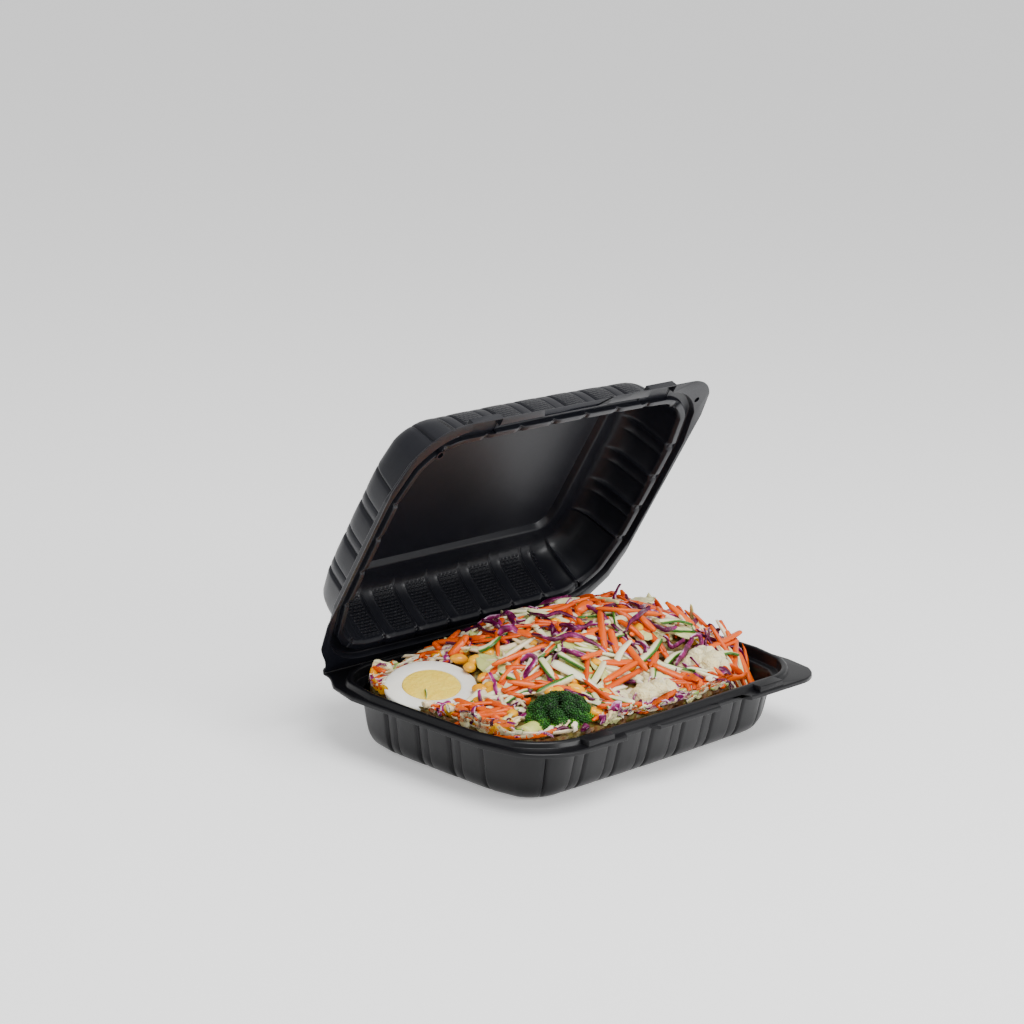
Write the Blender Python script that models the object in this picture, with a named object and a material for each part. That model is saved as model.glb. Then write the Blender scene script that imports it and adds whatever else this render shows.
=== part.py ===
import bpy
import bmesh
import math
import random
from mathutils import Vector
from mathutils.noise import noise

MM = 0.001
# driving dimensions, in millimetres
XW, YW, R0 = 104.7, 69.5, 30.0        # wall outline at the top of the tray wall, corner radius
BOW_LONG, BOW_SHORT = 1.0, 0.6        # outward bow of the walls
Z_WALL, Z_FLANGE, Z_BEAD = 30.0, 34.0, 37.2
SHEET = 0.8                           # thickness of the formed sheet
DRAFT = 0.18                          # wall draft per mm of height
FLUTE, PITCH_LONG, PITCH_SHORT = 1.2, 25.0, 23.0
FX, FY = 117.0, 84.5                  # flange edge, short side and latch side
HINGE_Y, HINGE_Z, HINGE_HALF = 84.0, 34.15, 102.0
OPEN_DEG = 61.5                       # how far the lid stands open at rest
LATCH_X, LATCH_HALF = 68.0, 10.0
GAP = 0.3                             # clearance between food pieces

rng = random.Random(11)

for ob in list(bpy.data.objects):
    bpy.data.objects.remove(ob, do_unlink=True)
part = bpy.data.collections.new("takeaway_meal_container")
tools = bpy.data.collections.new("cutters")
bpy.context.scene.collection.children.link(part)
bpy.context.scene.collection.children.link(tools)


def material(name, rgb, rough):
    m = bpy.data.materials.new(name)
    m.use_nodes = True
    b = m.node_tree.nodes["Principled BSDF"]
    b.inputs["Base Color"].default_value = (*rgb, 1.0)
    b.inputs["Roughness"].default_value = rough
    return m


def make(name, verts, faces, mat=None, where=None):
    me = bpy.data.meshes.new(name)
    me.from_pydata([tuple(c * MM for c in v) for v in verts], [], faces)
    me.validate()
    ob = bpy.data.objects.new(name, me)
    (where or part).objects.link(ob)
    if mat:
        me.materials.append(mat)
    return ob


def outward(ob):
    bm = bmesh.new()
    bm.from_mesh(ob.data)
    bmesh.ops.recalc_face_normals(bm, faces=bm.faces)
    if bm.calc_volume(signed=True) < 0:
        bmesh.ops.reverse_faces(bm, faces=bm.faces)
    bm.to_mesh(ob.data)
    bm.free()
    return ob


def boolean(ob, other, op, solver="EXACT"):
    m = ob.modifiers.new("b", "BOOLEAN")
    m.operation, m.solver = op, solver
    if isinstance(other, bpy.types.Collection):
        m.operand_type, m.collection = "COLLECTION", other
        gone = list(other.objects)
    else:
        m.object = other
        gone = [other]
    dg = bpy.context.evaluated_depsgraph_get()
    me = bpy.data.meshes.new_from_object(ob.evaluated_get(dg))
    ob.modifiers.clear()
    ob.data = me
    for g in gone:
        bpy.data.objects.remove(g, do_unlink=True)
    return ob


def keep_largest(ob, angle=0.0):
    bm = bmesh.new()
    bm.from_mesh(ob.data)
    if angle:
        bmesh.ops.dissolve_limit(bm, angle_limit=math.radians(angle), verts=bm.verts, edges=bm.edges)
    bmesh.ops.triangulate(bm, faces=bm.faces)
    bmesh.ops.dissolve_degenerate(bm, dist=1e-6, edges=bm.edges)
    bmesh.ops.triangulate(bm, faces=bm.faces)
    seen, groups = set(), []
    for f in bm.faces:
        if f in seen:
            continue
        stack, group = [f], []
        seen.add(f)
        while stack:
            g = stack.pop()
            group.append(g)
            for e in g.edges:
                for h in e.link_faces:
                    if h not in seen:
                        seen.add(h)
                        stack.append(h)
        groups.append(group)
    groups.sort(key=len, reverse=True)
    for group in groups[1:]:
        bmesh.ops.delete(bm, geom=group, context="FACES")
    loose = [v for v in bm.verts if not v.link_faces]
    bmesh.ops.delete(bm, geom=loose, context="VERTS")
    bm.to_mesh(ob.data)
    bm.free()
    return ob


# the outline of the wall and of the flange, as points with outward normals
def rounded(hx, hy, r, t):
    k, f = int(t) % 8, t - int(t)
    a, b = hx - r, hy - r
    if k % 2 == 0:
        p = [(-a, -hy), (hx, -b), (a, hy), (-hx, b)][k // 2]
        d, n, w = [(1, 0), (0, 1), (-1, 0), (0, -1)][k // 2], [(0, -1), (1, 0), (0, 1), (-1, 0)][k // 2], \
            [2 * a, 2 * b, 2 * a, 2 * b][k // 2]
        return (p[0] + d[0] * w * f, p[1] + d[1] * w * f), n
    c = [(a, -b), (a, b), (-a, b), (-a, -b)][k // 2]
    q = math.radians(-90 + 90 * (k // 2) + 90 * f)
    n = (math.cos(q), math.sin(q))
    return (c[0] + r * n[0], c[1] + r * n[1]), n


def wall(t, u):
    """Point at offset u outside the top outline of the wall."""
    p, n = rounded(XW, YW, R0, t)
    k, f = int(t) % 8, t - int(t)
    if k % 2 == 0:
        u += (BOW_LONG if k % 4 == 0 else BOW_SHORT) * (1 - (2 * f - 1) ** 2)
    return p[0] + n[0] * u, p[1] + n[1] * u


def bezier(p, f):
    g = 1 - f
    w = (g ** 3, 3 * g * g * f, 3 * g * f * f, f ** 3)
    return tuple(sum(w[i] * p[i][j] for i in range(4)) for j in (0, 1))


def flange_point(t):
    k, f = int(t) % 8, t - int(t)
    yb = HINGE_Y - GAP
    ear, nose = 24.0, 36.0
    back = [(FX, 50.0), (FX, 68.0), (103.0, 72.0), (HINGE_HALF, yb)]
    if k == 0:
        return -(FX - nose) + f * (2 * FX - nose - ear), -FY
    if k == 1:
        q = math.radians(-90 + 90 * f)
        return FX - ear + ear * math.cos(q), -FY + ear + ear * math.sin(q)
    if k == 2:
        return FX, -FY + ear + f * (50.0 + FY - ear)
    if k == 3:
        return bezier(back, f)
    if k == 4:
        return HINGE_HALF - f * 2 * HINGE_HALF, yb
    if k == 5:
        p = bezier(back, 1 - f)
        return -p[0], p[1]
    if k == 6:
        return -FX, 50.0 - f * (50.0 + FY - nose)
    q = math.radians(180 + 90 * f)
    return -FX + nose + nose * math.cos(q), -FY + nose + nose * math.sin(q)


def ramp(a, b, x):
    s = min(1.0, max(0.0, (x - a) / (b - a)))
    return s * s * (3 - 2 * s)


def tray_notch(x):
    a = abs(x)
    return 4.0 * ramp(24.0, 27.0, a) * (1 - ramp(47.0, 50.0, a))


def lid_notch(x):
    return 5.0 * (1 - ramp(24.0, 27.0, abs(x)))


def flange(t, u, notch):
    a, b = flange_point(t - 0.004 if t > 0.004 else t), flange_point(t + 0.004)
    x, y = flange_point(t)
    dx, dy = b[0] - a[0], b[1] - a[1]
    n = math.hypot(dx, dy) or 1.0
    k = int(t) % 8
    if k in (0, 2, 4, 6):
        nx, ny = [(0, -1), (1, 0), (0, 1), (-1, 0)][k // 2]
    else:
        nx, ny = dy / n, -dx / n
    if k == 0:
        u -= notch(x)
    return x + nx * u, y + ny * u


# where the flutes of the walls stand: pairs of ring parameter and depth
def arc_to_t(side, s):
    half = (XW - R0) if side in (0, 4) else (YW - R0)
    arc = (R0 - 3.0) * math.pi / 2
    if s < -half:
        return (side - (-half - s) / arc) % 8
    if s > half:
        return side + 1 + (s - half) / arc
    return side + (s + half) / (2 * half)


def flute_stations():
    out = []
    for side, pitch, count, broad_first in ((0, PITCH_LONG, 7, True), (2, PITCH_SHORT, 3, False),
                                            (4, PITCH_LONG, 7, True), (6, PITCH_SHORT, 3, False)):
        half = pitch * count / 2
        for i in range(count):
            a = -half + i * pitch
            if broad_first:
                rows = ((0, -1), (1.3, .35), (.66 * pitch, .35), (pitch - 1.3, -.15))
            else:
                rows = ((0, -1), (1.3, -.15), (.34 * pitch, .35), (pitch - 1.3, .35))
            out += [(arc_to_t(side, a + d), w) for d, w in rows]
        out.append((arc_to_t(side, -half - 1.4), 0.0))
        out.append((arc_to_t(side, half), -1.0))
        out.append((arc_to_t(side, half + 1.4), 0.0))
    for c in (1, 3, 5, 7):
        out += [(c + .36, 0.0), (c + .5, 0.0), (c + .64, 0.0)]
    return sorted(out)


STATIONS = flute_stations()
SMOOTH = sorted([k + f for k in (0, 4) for f in (0, .2, .4, .6, .8)]
                + [k + f for k in (2, 6) for f in (0, .33, .67)]
                + [k + f for k in (1, 3, 5, 7) for f in (0, .2, .4, .6, .8)])
NOTCHED = sorted([t for t in SMOOTH if t >= 1 or t == 0]
                 + [(x + FX - 36) / (2 * FX - 60) for x in (-66, -50, -47, -27, -24, 0, 24, 27, 47, 50, 66, 80)])


def ring_fluted(u, z, depth=1.0):
    return [(t, (*wall(t, u + FLUTE * w * depth), z)) for t, w in STATIONS]


def ring_smooth(u, z):
    return [(t, (*wall(t, u), z)) for t in SMOOTH]


def ring_panel(hx, hy, r, z):
    return [(t, (*rounded(hx, hy, r, t)[0], z)) for t in SMOOTH]


def ring_flange(u, z, notch):
    return [(t, (*flange(t, u, notch), z(t) if callable(z) else z)) for t in NOTCHED]


def loft(rings, z0, z1):
    """Closed solid through rings of unlike counts, capped at both ends by a centre point."""
    verts, faces, index = [], [], []
    for ring in rings:
        index.append([(t, len(verts) + i) for i, (t, p) in enumerate(ring)])
        verts += [p for t, p in ring]
    for a, b in zip(index, index[1:]):
        i = j = 0
        na, nb = len(a), len(b)
        while i < na or j < nb:
            ta = a[(i + 1) % na][0] + (8 if i + 1 >= na else 0)
            tb = b[(j + 1) % nb][0] + (8 if j + 1 >= nb else 0)
            if i < na and (j >= nb or ta <= tb):
                faces.append((a[i % na][1], a[(i + 1) % na][1], b[j % nb][1]))
                i += 1
            else:
                faces.append((a[i % na][1], b[(j + 1) % nb][1], b[j % nb][1]))
                j += 1
    for ring, z in ((index[0], z0), (index[-1], z1)):
        c = len(verts)
        verts.append((0.0, 0.0, z))
        for k in range(len(ring)):
            faces.append((c, ring[k][1], ring[(k + 1) % len(ring)][1]))
    return verts, faces


def block(name, x0, x1, y0, y1, z0, z1, draft=0.0):
    v = [(x, y, z) for z, d in ((z0, 0.0), (z1, draft)) for x, y in
         ((x0 + d, y0 + d), (x1 - d, y0 + d), (x1 - d, y1 - d), (x0 + d, y1 - d))]
    f = [(3, 2, 1, 0), (4, 5, 6, 7), (0, 1, 5, 4), (1, 2, 6, 5), (2, 3, 7, 6), (3, 0, 4, 7)]
    return make(name, v, f, None, tools)


def drum(name, x, y, r, z0, z1, n=12):
    v = [(x + r * math.cos(a), y + r * math.sin(a), z) for z in (z0, z1)
         for a in (2 * math.pi * i / n for i in range(n))]
    f = [tuple(range(n))[::-1], tuple(range(n, 2 * n))]
    f += [(i, (i + 1) % n, n + (i + 1) % n, n + i) for i in range(n)]
    return make(name, v, f, None, tools)


# the tray
tray_mat = material("tray_plastic", (0.028, 0.028, 0.031), 0.32)
lid_mat = material("lid_plastic", (0.026, 0.027, 0.032), 0.30)


def lip(t):
    """Depth of the folded edge below the flange; none along the hinge."""
    return 1.4 * (1 - ramp(2.95, 3.5, t) * (1 - ramp(5.5, 6.05, t)))


def wall_u(z):
    return -DRAFT * (Z_WALL - z)


F = tray_notch
verts, faces = loft([
    ring_panel(80.0, 45.0, 10.0, 0.0),
    ring_panel(81.0, 46.0, 11.0, 1.3),
    ring_panel(83.2, 48.2, 12.0, 1.3),
    ring_panel(84.2, 49.2, 13.0, 0.0),
    ring_smooth(-13.4, 0.0),
    ring_fluted(-8.2, 2.4, .6),
    ring_fluted(wall_u(8.0), 8.0),
    ring_fluted(0.0, 29.5),
    ring_smooth(0.4, 30.2),
    ring_smooth(5.0, 30.4),
    ring_smooth(5.9, 35.9),
    ring_smooth(7.4, 35.9),
    ring_smooth(8.2, 33.1),
    ring_flange(-1.1, 33.1, F),
    ring_flange(-0.7, lambda t: 33.1 - lip(t), F),
    ring_flange(0.2, lambda t: 33.1 - lip(t), F),
    ring_flange(0.0, 33.5, F),
    ring_flange(-0.6, Z_FLANGE, F),
    ring_smooth(9.0, Z_FLANGE),
    ring_smooth(8.2, 36.6),
    ring_smooth(6.6, Z_BEAD),
    ring_smooth(5.0, 36.6),
    ring_smooth(4.2, 31.2),
    ring_smooth(0.3, 31.0),
    ring_fluted(-SHEET, 30.2),
    ring_fluted(wall_u(8.4) - SHEET, 8.4),
    ring_fluted(-9.0, 3.1, .6),
    ring_smooth(-13.6, 0.9),
    ring_panel(85.0, 50.0, 13.0, 0.9),
    ring_panel(83.8, 48.8, 12.0, 2.2),
    ring_panel(80.4, 45.4, 10.0, 2.2),
    ring_panel(79.2, 44.2, 9.0, 0.9),
], 0.0, 0.9)
tray = outward(make("base_tray", verts, faces, tray_mat))
for sx in (-1, 1):
    x0, x1 = sx * LATCH_X - LATCH_HALF, sx * LATCH_X + LATCH_HALF
    boolean(tray, block("u", x0, x1, -83.5, -74.0, 33.3, 37.0, .4), "UNION")
    boolean(tray, block("d", x0 + .8, x1 - .8, -82.7, -78.0, 30.0, 36.2, .4), "DIFFERENCE")
keep_largest(tray)

# the lid, lofted closed and then turned open about the hinge
N = lid_notch
shut = lambda w: HINGE_Z + w
verts, faces = loft([
    ring_panel(80.5, 46.5, 10.0, shut(36.0)),
    ring_panel(82.0, 48.0, 11.0, shut(33.0)),
    ring_smooth(-13.0, shut(33.0)),
    ring_fluted(-7.6, shut(30.6), .6),
    ring_fluted(-3.8, shut(25.0)),
    ring_fluted(0.0, shut(5.0)),
    ring_smooth(0.7, shut(2.2)),
    ring_smooth(3.1, shut(1.8)),
    ring_smooth(3.7, shut(4.7)),
    ring_smooth(9.7, shut(4.7)),
    ring_smooth(10.4, shut(0.95)),
    ring_flange(-0.4, shut(0.95), N),
    ring_flange(0.0, shut(0.15), N),
    ring_smooth(9.6, shut(0.15)),
    ring_smooth(8.9, shut(3.9)),
    ring_smooth(4.5, shut(3.9)),
    ring_smooth(3.9, shut(0.9)),
    ring_smooth(0.4, shut(1.4)),
    ring_fluted(-SHEET, shut(3.6)),
    ring_fluted(-3.8 - SHEET, shut(24.5)),
    ring_fluted(-8.6, shut(29.8), .6),
    ring_smooth(-13.3, shut(32.2)),
    ring_panel(81.3, 47.3, 11.0, shut(32.2)),
    ring_panel(79.8, 45.8, 10.0, shut(35.2)),
], shut(36.0), shut(35.2))
lid = outward(make("lid_cover", verts, faces, lid_mat))
for sx in (-1, 1):
    x0, x1 = sx * LATCH_X - LATCH_HALF, sx * LATCH_X + LATCH_HALF
    boolean(lid, block("u", x0 - 1.2, x1 + 1.2, -84.3, -73.6, shut(.3), shut(4.6), .3), "UNION")
    boolean(lid, block("u", x0 - 2.6, x1 + 2.6, -80.4, -72.4, shut(3.3), shut(4.55)), "UNION")
    boolean(lid, block("d", x0 - .4, x1 + .4, -83.9, -73.9, shut(-1), shut(3.7), .1), "DIFFERENCE")
    boolean(lid, block("d", x0 - 1.4, x1 + 1.4, -79.3, -73.2, shut(-1), shut(3.6)), "DIFFERENCE")
for x, y in ((-93.0, -65.5), (104.8, -69.6)):
    boolean(lid, drum("u", x, y, 2.7, shut(.5), shut(3.2)), "UNION")
    boolean(lid, drum("d", x, y, 1.8, shut(-1), shut(2.4)), "DIFFERENCE")
keep_largest(lid)
ca, sa = math.cos(math.radians(OPEN_DEG)), math.sin(math.radians(OPEN_DEG))
for v in lid.data.vertices:
    x, y, z = v.co / MM
    d, w = HINGE_Y - y, z - HINGE_Z
    v.co = Vector((x, HINGE_Y - d * ca + w * sa, HINGE_Z + d * sa + w * ca)) * MM


# the food
def inside(p, extra=0.0):
    """Moves a point of the food clear of the walls and of the lid's sweep."""
    x, y, z = p
    z = min(max(z, 2.6), 62.0)
    m = 3.4 + extra + (DRAFT * (Z_WALL - z) if z < Z_WALL else 0.0)
    if z < 13:
        m += (13 - z) * .45
    hx, hy, r = XW - m, YW - m, R0 - m
    a, b = hx - r, hy - r
    if abs(x) > a and abs(y) > b:
        dx, dy = abs(x) - a, abs(y) - b
        d = math.hypot(dx, dy)
        if d > r:
            x, y = math.copysign(a + dx * r / d, x), math.copysign(b + dy * r / d, y)
    else:
        x, y = max(-hx, min(hx, x)), max(-hy, min(hy, y))
    return x, y, z


def heap_top(x, y):
    z = 35.0 + 21.5 * math.exp(-((abs(x - 20) / 75) ** 4 + (abs(y - 15) / 46) ** 4))
    end = 115 - 50 * (1 - ramp(-66, -32, y))
    z += 1.9 * noise(Vector((x / 17, y / 17, .7))) + .9 * noise(Vector((x / 7, y / 7, 3.1)))
    return 3.4 + (z - 3.4) * (1 - ramp(end - 12, end + 3, x))


def surface(x, y):
    return heap_top(x, y)


def blob(name, where, centre, radii, seg, rows, bump=.08, size=.7, seed=0.0, squash=None, mat=None):
    """A lumpy rounded piece with few sides."""
    v, f = [], []
    for i in range(1, rows):
        a = math.pi * i / rows
        for j in range(seg):
            b = 2 * math.pi * (j + .5 * (i % 2)) / seg
            v.append((math.sin(a) * math.cos(b), math.sin(a) * math.sin(b), math.cos(a)))
    v = [(0, 0, 1)] + v + [(0, 0, -1)]
    for j in range(seg):
        k = (j + 1) % seg
        f.append((0, 1 + j, 1 + k))
        f.append((len(v) - 1, len(v) - 1 - seg + k, len(v) - 1 - seg + j))
    for i in range(rows - 2):
        for j in range(seg):
            k = (j + 1) % seg
            a, b, c, d = [1 + i * seg + q for q in (j, k)] + [1 + (i + 1) * seg + q for q in (k, j)]
            f += [(a, d, b), (b, d, c)] if i % 2 else [(a, d, c), (a, c, b)]
    out = []
    for p in v:
        s = 1 + bump * noise(Vector(p) / size * 2 + Vector((seed, seed * 2, 1.3)))
        q = [centre[n] + radii[n] * p[n] * s for n in range(3)]
        out.append(squash(q) if squash else q)
    return outward(make(name, out, f, mat, where))


def strip(name, where, path, width, thick, twist=0.0, taper=0.4, seg=7):
    """A bent strip with a four-sided section along a smooth path."""
    pts = [Vector(p) for p in path]

    def at(f):
        s = f * (len(pts) - 1)
        i = min(int(s), len(pts) - 2)
        h = s - i
        a, b = pts[max(i - 1, 0)], pts[i]
        c, d = pts[i + 1], pts[min(i + 2, len(pts) - 1)]
        return .5 * (2 * b + (c - a) * h + (2 * a - 5 * b + 4 * c - d) * h * h
                     + (3 * b - a - 3 * c + d) * h ** 3)
    v, f = [], []
    for i in range(seg + 1):
        s = i / seg
        p, q = at(max(0, s - .02)), at(min(1, s + .02))
        tangent = (q - p).normalized()
        side = tangent.cross(Vector((0, 0, 1)))
        side = side.normalized() if side.length > .05 else Vector((1, 0, 0))
        upper = side.cross(tangent)
        a = twist * s
        n1 = side * math.cos(a) + upper * math.sin(a)
        n2 = upper * math.cos(a) - side * math.sin(a)
        w = width / 2 * (1 - (1 - taper) * (2 * abs(s - .5)) ** 3)
        h = thick / 2
        for m, n in ((-1, -1), (1, -1), (1, 1), (-1, 1)):
            v.append(inside(at(s) + n1 * w * m + n2 * h * n))
    for i in range(seg):
        for k in range(4):
            a, b = i * 4 + k, i * 4 + (k + 1) % 4
            f += [(a, b, b + 4), (a, b + 4, a + 4)]
    f += [(0, 3, 2), (0, 2, 1)]
    e = seg * 4
    f += [(e, e + 1, e + 2), (e, e + 2, e + 3)]
    return outward(make(name, v, f, None, where))


def laid(points, lift=.6):
    """Points on the plan of the heap, lifted just proud of its top."""
    return [(x, y, surface(x, y) + lift + (rest[0] if rest else 0)) for x, y, *rest in points]


heap_mat = material("mixed_salad", (0.55, 0.45, 0.22), 0.5)
rows, seg = 9, 36
verts, faces = [], []
levels = [(2.6, 13.2), (8.6, 8.2), (20.0, 5.4), (31.0, 3.9)]
angles = [2 * math.pi * i / seg for i in range(seg)]


def plan(a, m):
    """Point of the heap's outline in direction a, a margin m inside the wall."""
    hx, hy, r = XW - m, YW - m, max(R0 - m, 6.0)
    dx, dy = math.cos(a) * hx, math.sin(a) * hy
    lo, hi = 0.0, 2.0
    for _ in range(24):
        s = (lo + hi) / 2
        x, y = abs(dx * s) - (hx - r), abs(dy * s) - (hy - r)
        out = math.hypot(max(x, 0), max(y, 0)) > r or max(x, y) > r
        lo, hi = (lo, s) if out else (s, hi)
    return dx * lo, dy * lo


for z, m in levels:
    for a in angles:
        x, y = plan(a, m)
        verts.append(inside((x, y, min(z, surface(x, y))), .3))
for i in range(1, rows):
    s = 1 - (i / rows) ** 1.15
    for a in angles:
        x, y = plan(a, 3.9)
        x, y = x * s, y * s
        verts.append(inside((x, y, surface(x, y) + .01 * i), .3))
verts.append((0, 0, surface(0, 0)))
verts.append((0, 0, 2.6))
n = len(levels) + rows - 1
for i in range(n - 1):
    for j in range(seg):
        k = (j + 1) % seg
        a, b, c, d = i * seg + j, i * seg + k, (i + 1) * seg + k, (i + 1) * seg + j
        faces += [(a, b, c), (a, c, d)]
for j in range(seg):
    k = (j + 1) % seg
    faces.append(((n - 1) * seg + j, (n - 1) * seg + k, len(verts) - 2))
    faces.append((j, len(verts) - 1, k))
heap = outward(make("salad_heap", verts, faces, heap_mat))

bits = bpy.data.collections.new("bits")
bpy.context.scene.collection.children.link(bits)
# carrot strips: plan points, width, thickness
carrots = [
    ([(-50, 46, 1), (-36, 52, 2), (-20, 57, 2)], 5.0, 2.2), ([(-30, 56, 0), (-16, 60, 0)], 4.5, 2.2),
    ([(-100, 52, 0), (-90, 58, 1)], 4.0, 2.0), ([(-100, 30, 8), (-92, 8, 10), (-84, -14, 3)], 3.0, 2.0),
    ([(36, 34, 1), (46, 28, 4)], 4.2, 2.2), ([(42, 23, 2), (58, 14, 3), (72, 4, 1)], 3.6, 2.2),
    ([(22, 14, 2), (30, -8, 3), (28, -26, 1)], 4.0, 2.0), ([(12, 20, 2), (14, -4, 2), (6, -22, 2)], 3.4, 2.0),
    ([(50, 2, 2), (52, -16, 1)], 4.0, 2.2), ([(18, -44, 1), (24, -32, 2), (30, -22, 1)], 4.2, 2.2),
    ([(80, -28, 1), (88, -36, 6), (92, -43, 12)], 7.0, 2.0), ([(84, -56, -6), (90, -50, -4), (93, -44, 0)], 3.2, 2.0),
    ([(-4, 52, 1), (14, 50, 1)], 4.0, 2.2),
]
for pts, w, h in carrots:
    strip("carrot", bits, laid(pts), w, h, twist=rng.uniform(-.4, .4), taper=.6, seg=4)
# shreds of cabbage, standing on edge or curled
shreds = [
    ([(-14, 40, 0), (-18, 30, 4), (-14, 22, 0)], 6.0, 1.6), ([(-34, 36, 1), (-22, 34, 3), (-12, 36, 0)], 4.0, 1.6),
    ([(0, 34, 0), (10, 30, 3), (20, 30, 0), (30, 24, 2)], 5.0, 1.6),
    ([(-12, 6, 0), (0, -6, 3), (12, -14, 1)], 6.0, 1.6), ([(46, 17, 0), (40, 20, 8), (36, 20, 14)], 7.0, 2.0),
    ([(60, 8, 0), (66, 4, 5), (72, 0, 1)], 6.0, 1.6), ([(-36, -2, 1), (-28, -6, 5), (-26, -18, 3), (-30, -24, 0)], 5.0, 1.6),
    ([(-18, -46, 0), (-8, -48, 4), (0, -42, 0)], 5.0, 1.8), ([(4, -46, 0), (8, -36, 3)], 5.0, 1.8),
    ([(32, -44, 0), (36, -34, 5), (44, -22, 4), (50, -20, 0)], 5.0, 2.0),
    ([(-98, -20, 1), (-100, -30, 3), (-92, -40, 1)], 5.0, 1.8), ([(62, -20, 1), (74, -14, 5), (82, -6, 1)], 4.0, 1.8),
    ([(50, 34, 0), (40, 44, 2), (26, 50, 0)], 5.0, 1.6), ([(84, 10, 0), (82, 26, 2), (74, 34, 0)], 5.0, 1.6),
]
for pts, w, h in shreds:
    strip("shred", bits, laid(pts), w, h, twist=rng.uniform(.4, 1.4), taper=.5, seg=5)
# cucumber strips and pale leaves
greens = [
    ([(-32, -4, 1), (-34, -14, 2), (-40, -22, 0)], 5.0, 2.6), ([(-24, -8, 2), (-18, -18, 3), (-16, -26, 1)], 4.4, 2.6),
    ([(4, -18, 1), (-2, -26, 2), (-10, -34, 0)], 5.0, 2.6), ([(-28, -20, 1), (-22, -32, 1), (-16, -42, 1)], 9.0, 2.0),
    ([(-56, 12, 2), (-46, 12, 3), (-34, 12, 2)], 14.0, 1.8), ([(-10, -2, 1), (2, -8, 2), (10, -6, 1)], 10.0, 1.8),
    ([(-88, 62, 2), (-78, 60, 3), (-68, 54, 1)], 11.0, 2.0), ([(8, 40, 1), (20, 42, 1)], 12.0, 2.0),
    ([(56, 28, 1), (68, 22, 2), (78, 18, 1)], 12.0, 2.0),
    ([(-60, 56, 1), (-46, 58, 2), (-32, 60, 1)], 9.0, 2.0),
]
for pts, w, h in greens:
    strip("green", bits, laid(pts), w, h, twist=rng.uniform(-.3, .3), taper=.6, seg=4)
# sweetcorn grains
corn = [(-58, 8), (-66, 3), (-55, 22), (-52, 33), (-40, 24), (-105, 40), (-82, -28), (-96, -42), (-45, -24),
        (-21, -42), (26, 36), (62, 22), (84, -2), (-2, 60), (34, 6)]
for i, (x, y) in enumerate(corn):
    c = inside((x, y, surface(x, y) + 1.2), 4.6)
    blob("corn", bits, c, (4.4, 3.4, 3.2), 5, 3, .15, .5, i * 1.7)
boolean(heap, bits, "UNION", "MANIFOLD")


# half an egg, its cut face up and tilted towards the front left
def half_egg(name, where, centre, rx, ry, depth, tilt_dir, tilt, grow=0.0, seg=20, rows=6, mat=None, lift=0.0):
    v, f = [], []
    rings = [(1.0 - .5 * grow / rx, .4 + lift), (1.0, -.5 - 0 * grow)]
    rings += [(math.cos(a), -.5 - depth * math.sin(a)) for a in (math.pi / 2 * i / rows for i in range(1, rows))]
    for k, (s, z) in enumerate(rings):
        for j in range(seg):
            a = 2 * math.pi * j / seg
            egg = 1 - .07 * math.sin(a)
            v.append(((rx + grow) * s * math.cos(a) * egg, (ry + grow) * s * math.sin(a),
                      z - (grow if k else 0)))
    v += [(0, 0, .4 + lift), (0, 0, -.5 - depth - grow)]
    for i in range(len(rings) - 1):
        for j in range(seg):
            k = (j + 1) % seg
            a, b, c, d = i * seg + j, i * seg + k, (i + 1) * seg + k, (i + 1) * seg + j
            f += [(a, c, b), (a, d, c)]
    for j in range(seg):
        k = (j + 1) % seg
        f.append((j, k, len(v) - 2))
        f.append(((len(rings) - 1) * seg + k, (len(rings) - 1) * seg + j, len(v) - 1))
    up = Vector((math.cos(tilt_dir) * math.sin(tilt), math.sin(tilt_dir) * math.sin(tilt), math.cos(tilt)))
    ax = Vector((-math.sin(EGG_TURN), -math.cos(EGG_TURN), 0))
    ax = (ax - up * ax.dot(up)).normalized()
    ay = up.cross(ax)
    o = Vector(centre)
    v = [o + ax * p[0] + ay * p[1] + up * p[2] for p in v]
    return outward(make(name, v, f, mat, where))


EGG_TURN = math.radians(-43)
EGG = (-80.6, 25.0, 38.6)
EGG_DIR, EGG_TILT = math.radians(-135), math.radians(13)
white_mat = material("egg_white", (0.80, 0.78, 0.70), 0.3)
yolk_mat = material("egg_yolk", (0.75, 0.42, 0.07), 0.5)
white = half_egg("egg_white", part, EGG, 24.6, 24.6, 15.0, EGG_DIR, EGG_TILT, 0.0, 18, 5, white_mat)
up = Vector((math.cos(EGG_DIR) * math.sin(EGG_TILT), math.sin(EGG_DIR) * math.sin(EGG_TILT), math.cos(EGG_TILT)))
yc = tuple(Vector(EGG) + up * .2)
boolean(white, half_egg("hole", tools, yc, 15.4, 15.4, 10.0, EGG_DIR, EGG_TILT, GAP, 14, 3, lift=3.0), "DIFFERENCE")
keep_largest(white)
yolk = half_egg("egg_yolk", part, yc, 15.4, 15.4, 10.0, EGG_DIR, EGG_TILT, 0.0, 14, 3, yolk_mat, .2)

seats = bpy.data.collections.new("seats")
bpy.context.scene.collection.children.link(seats)
half_egg("seat", seats, EGG, 24.6, 24.6, 15.0, EGG_DIR, EGG_TILT, .5, 18, 5, lift=12.0)

# broccoli: a pale stalk with a crown of knobs
green_mat = material("broccoli_green", (0.10, 0.17, 0.035), 0.6)
cream_mat = material("cauliflower_cream", (0.72, 0.66, 0.42), 0.6)
pale_mat = material("pale_vegetable", (0.62, 0.60, 0.36), 0.5)


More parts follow.
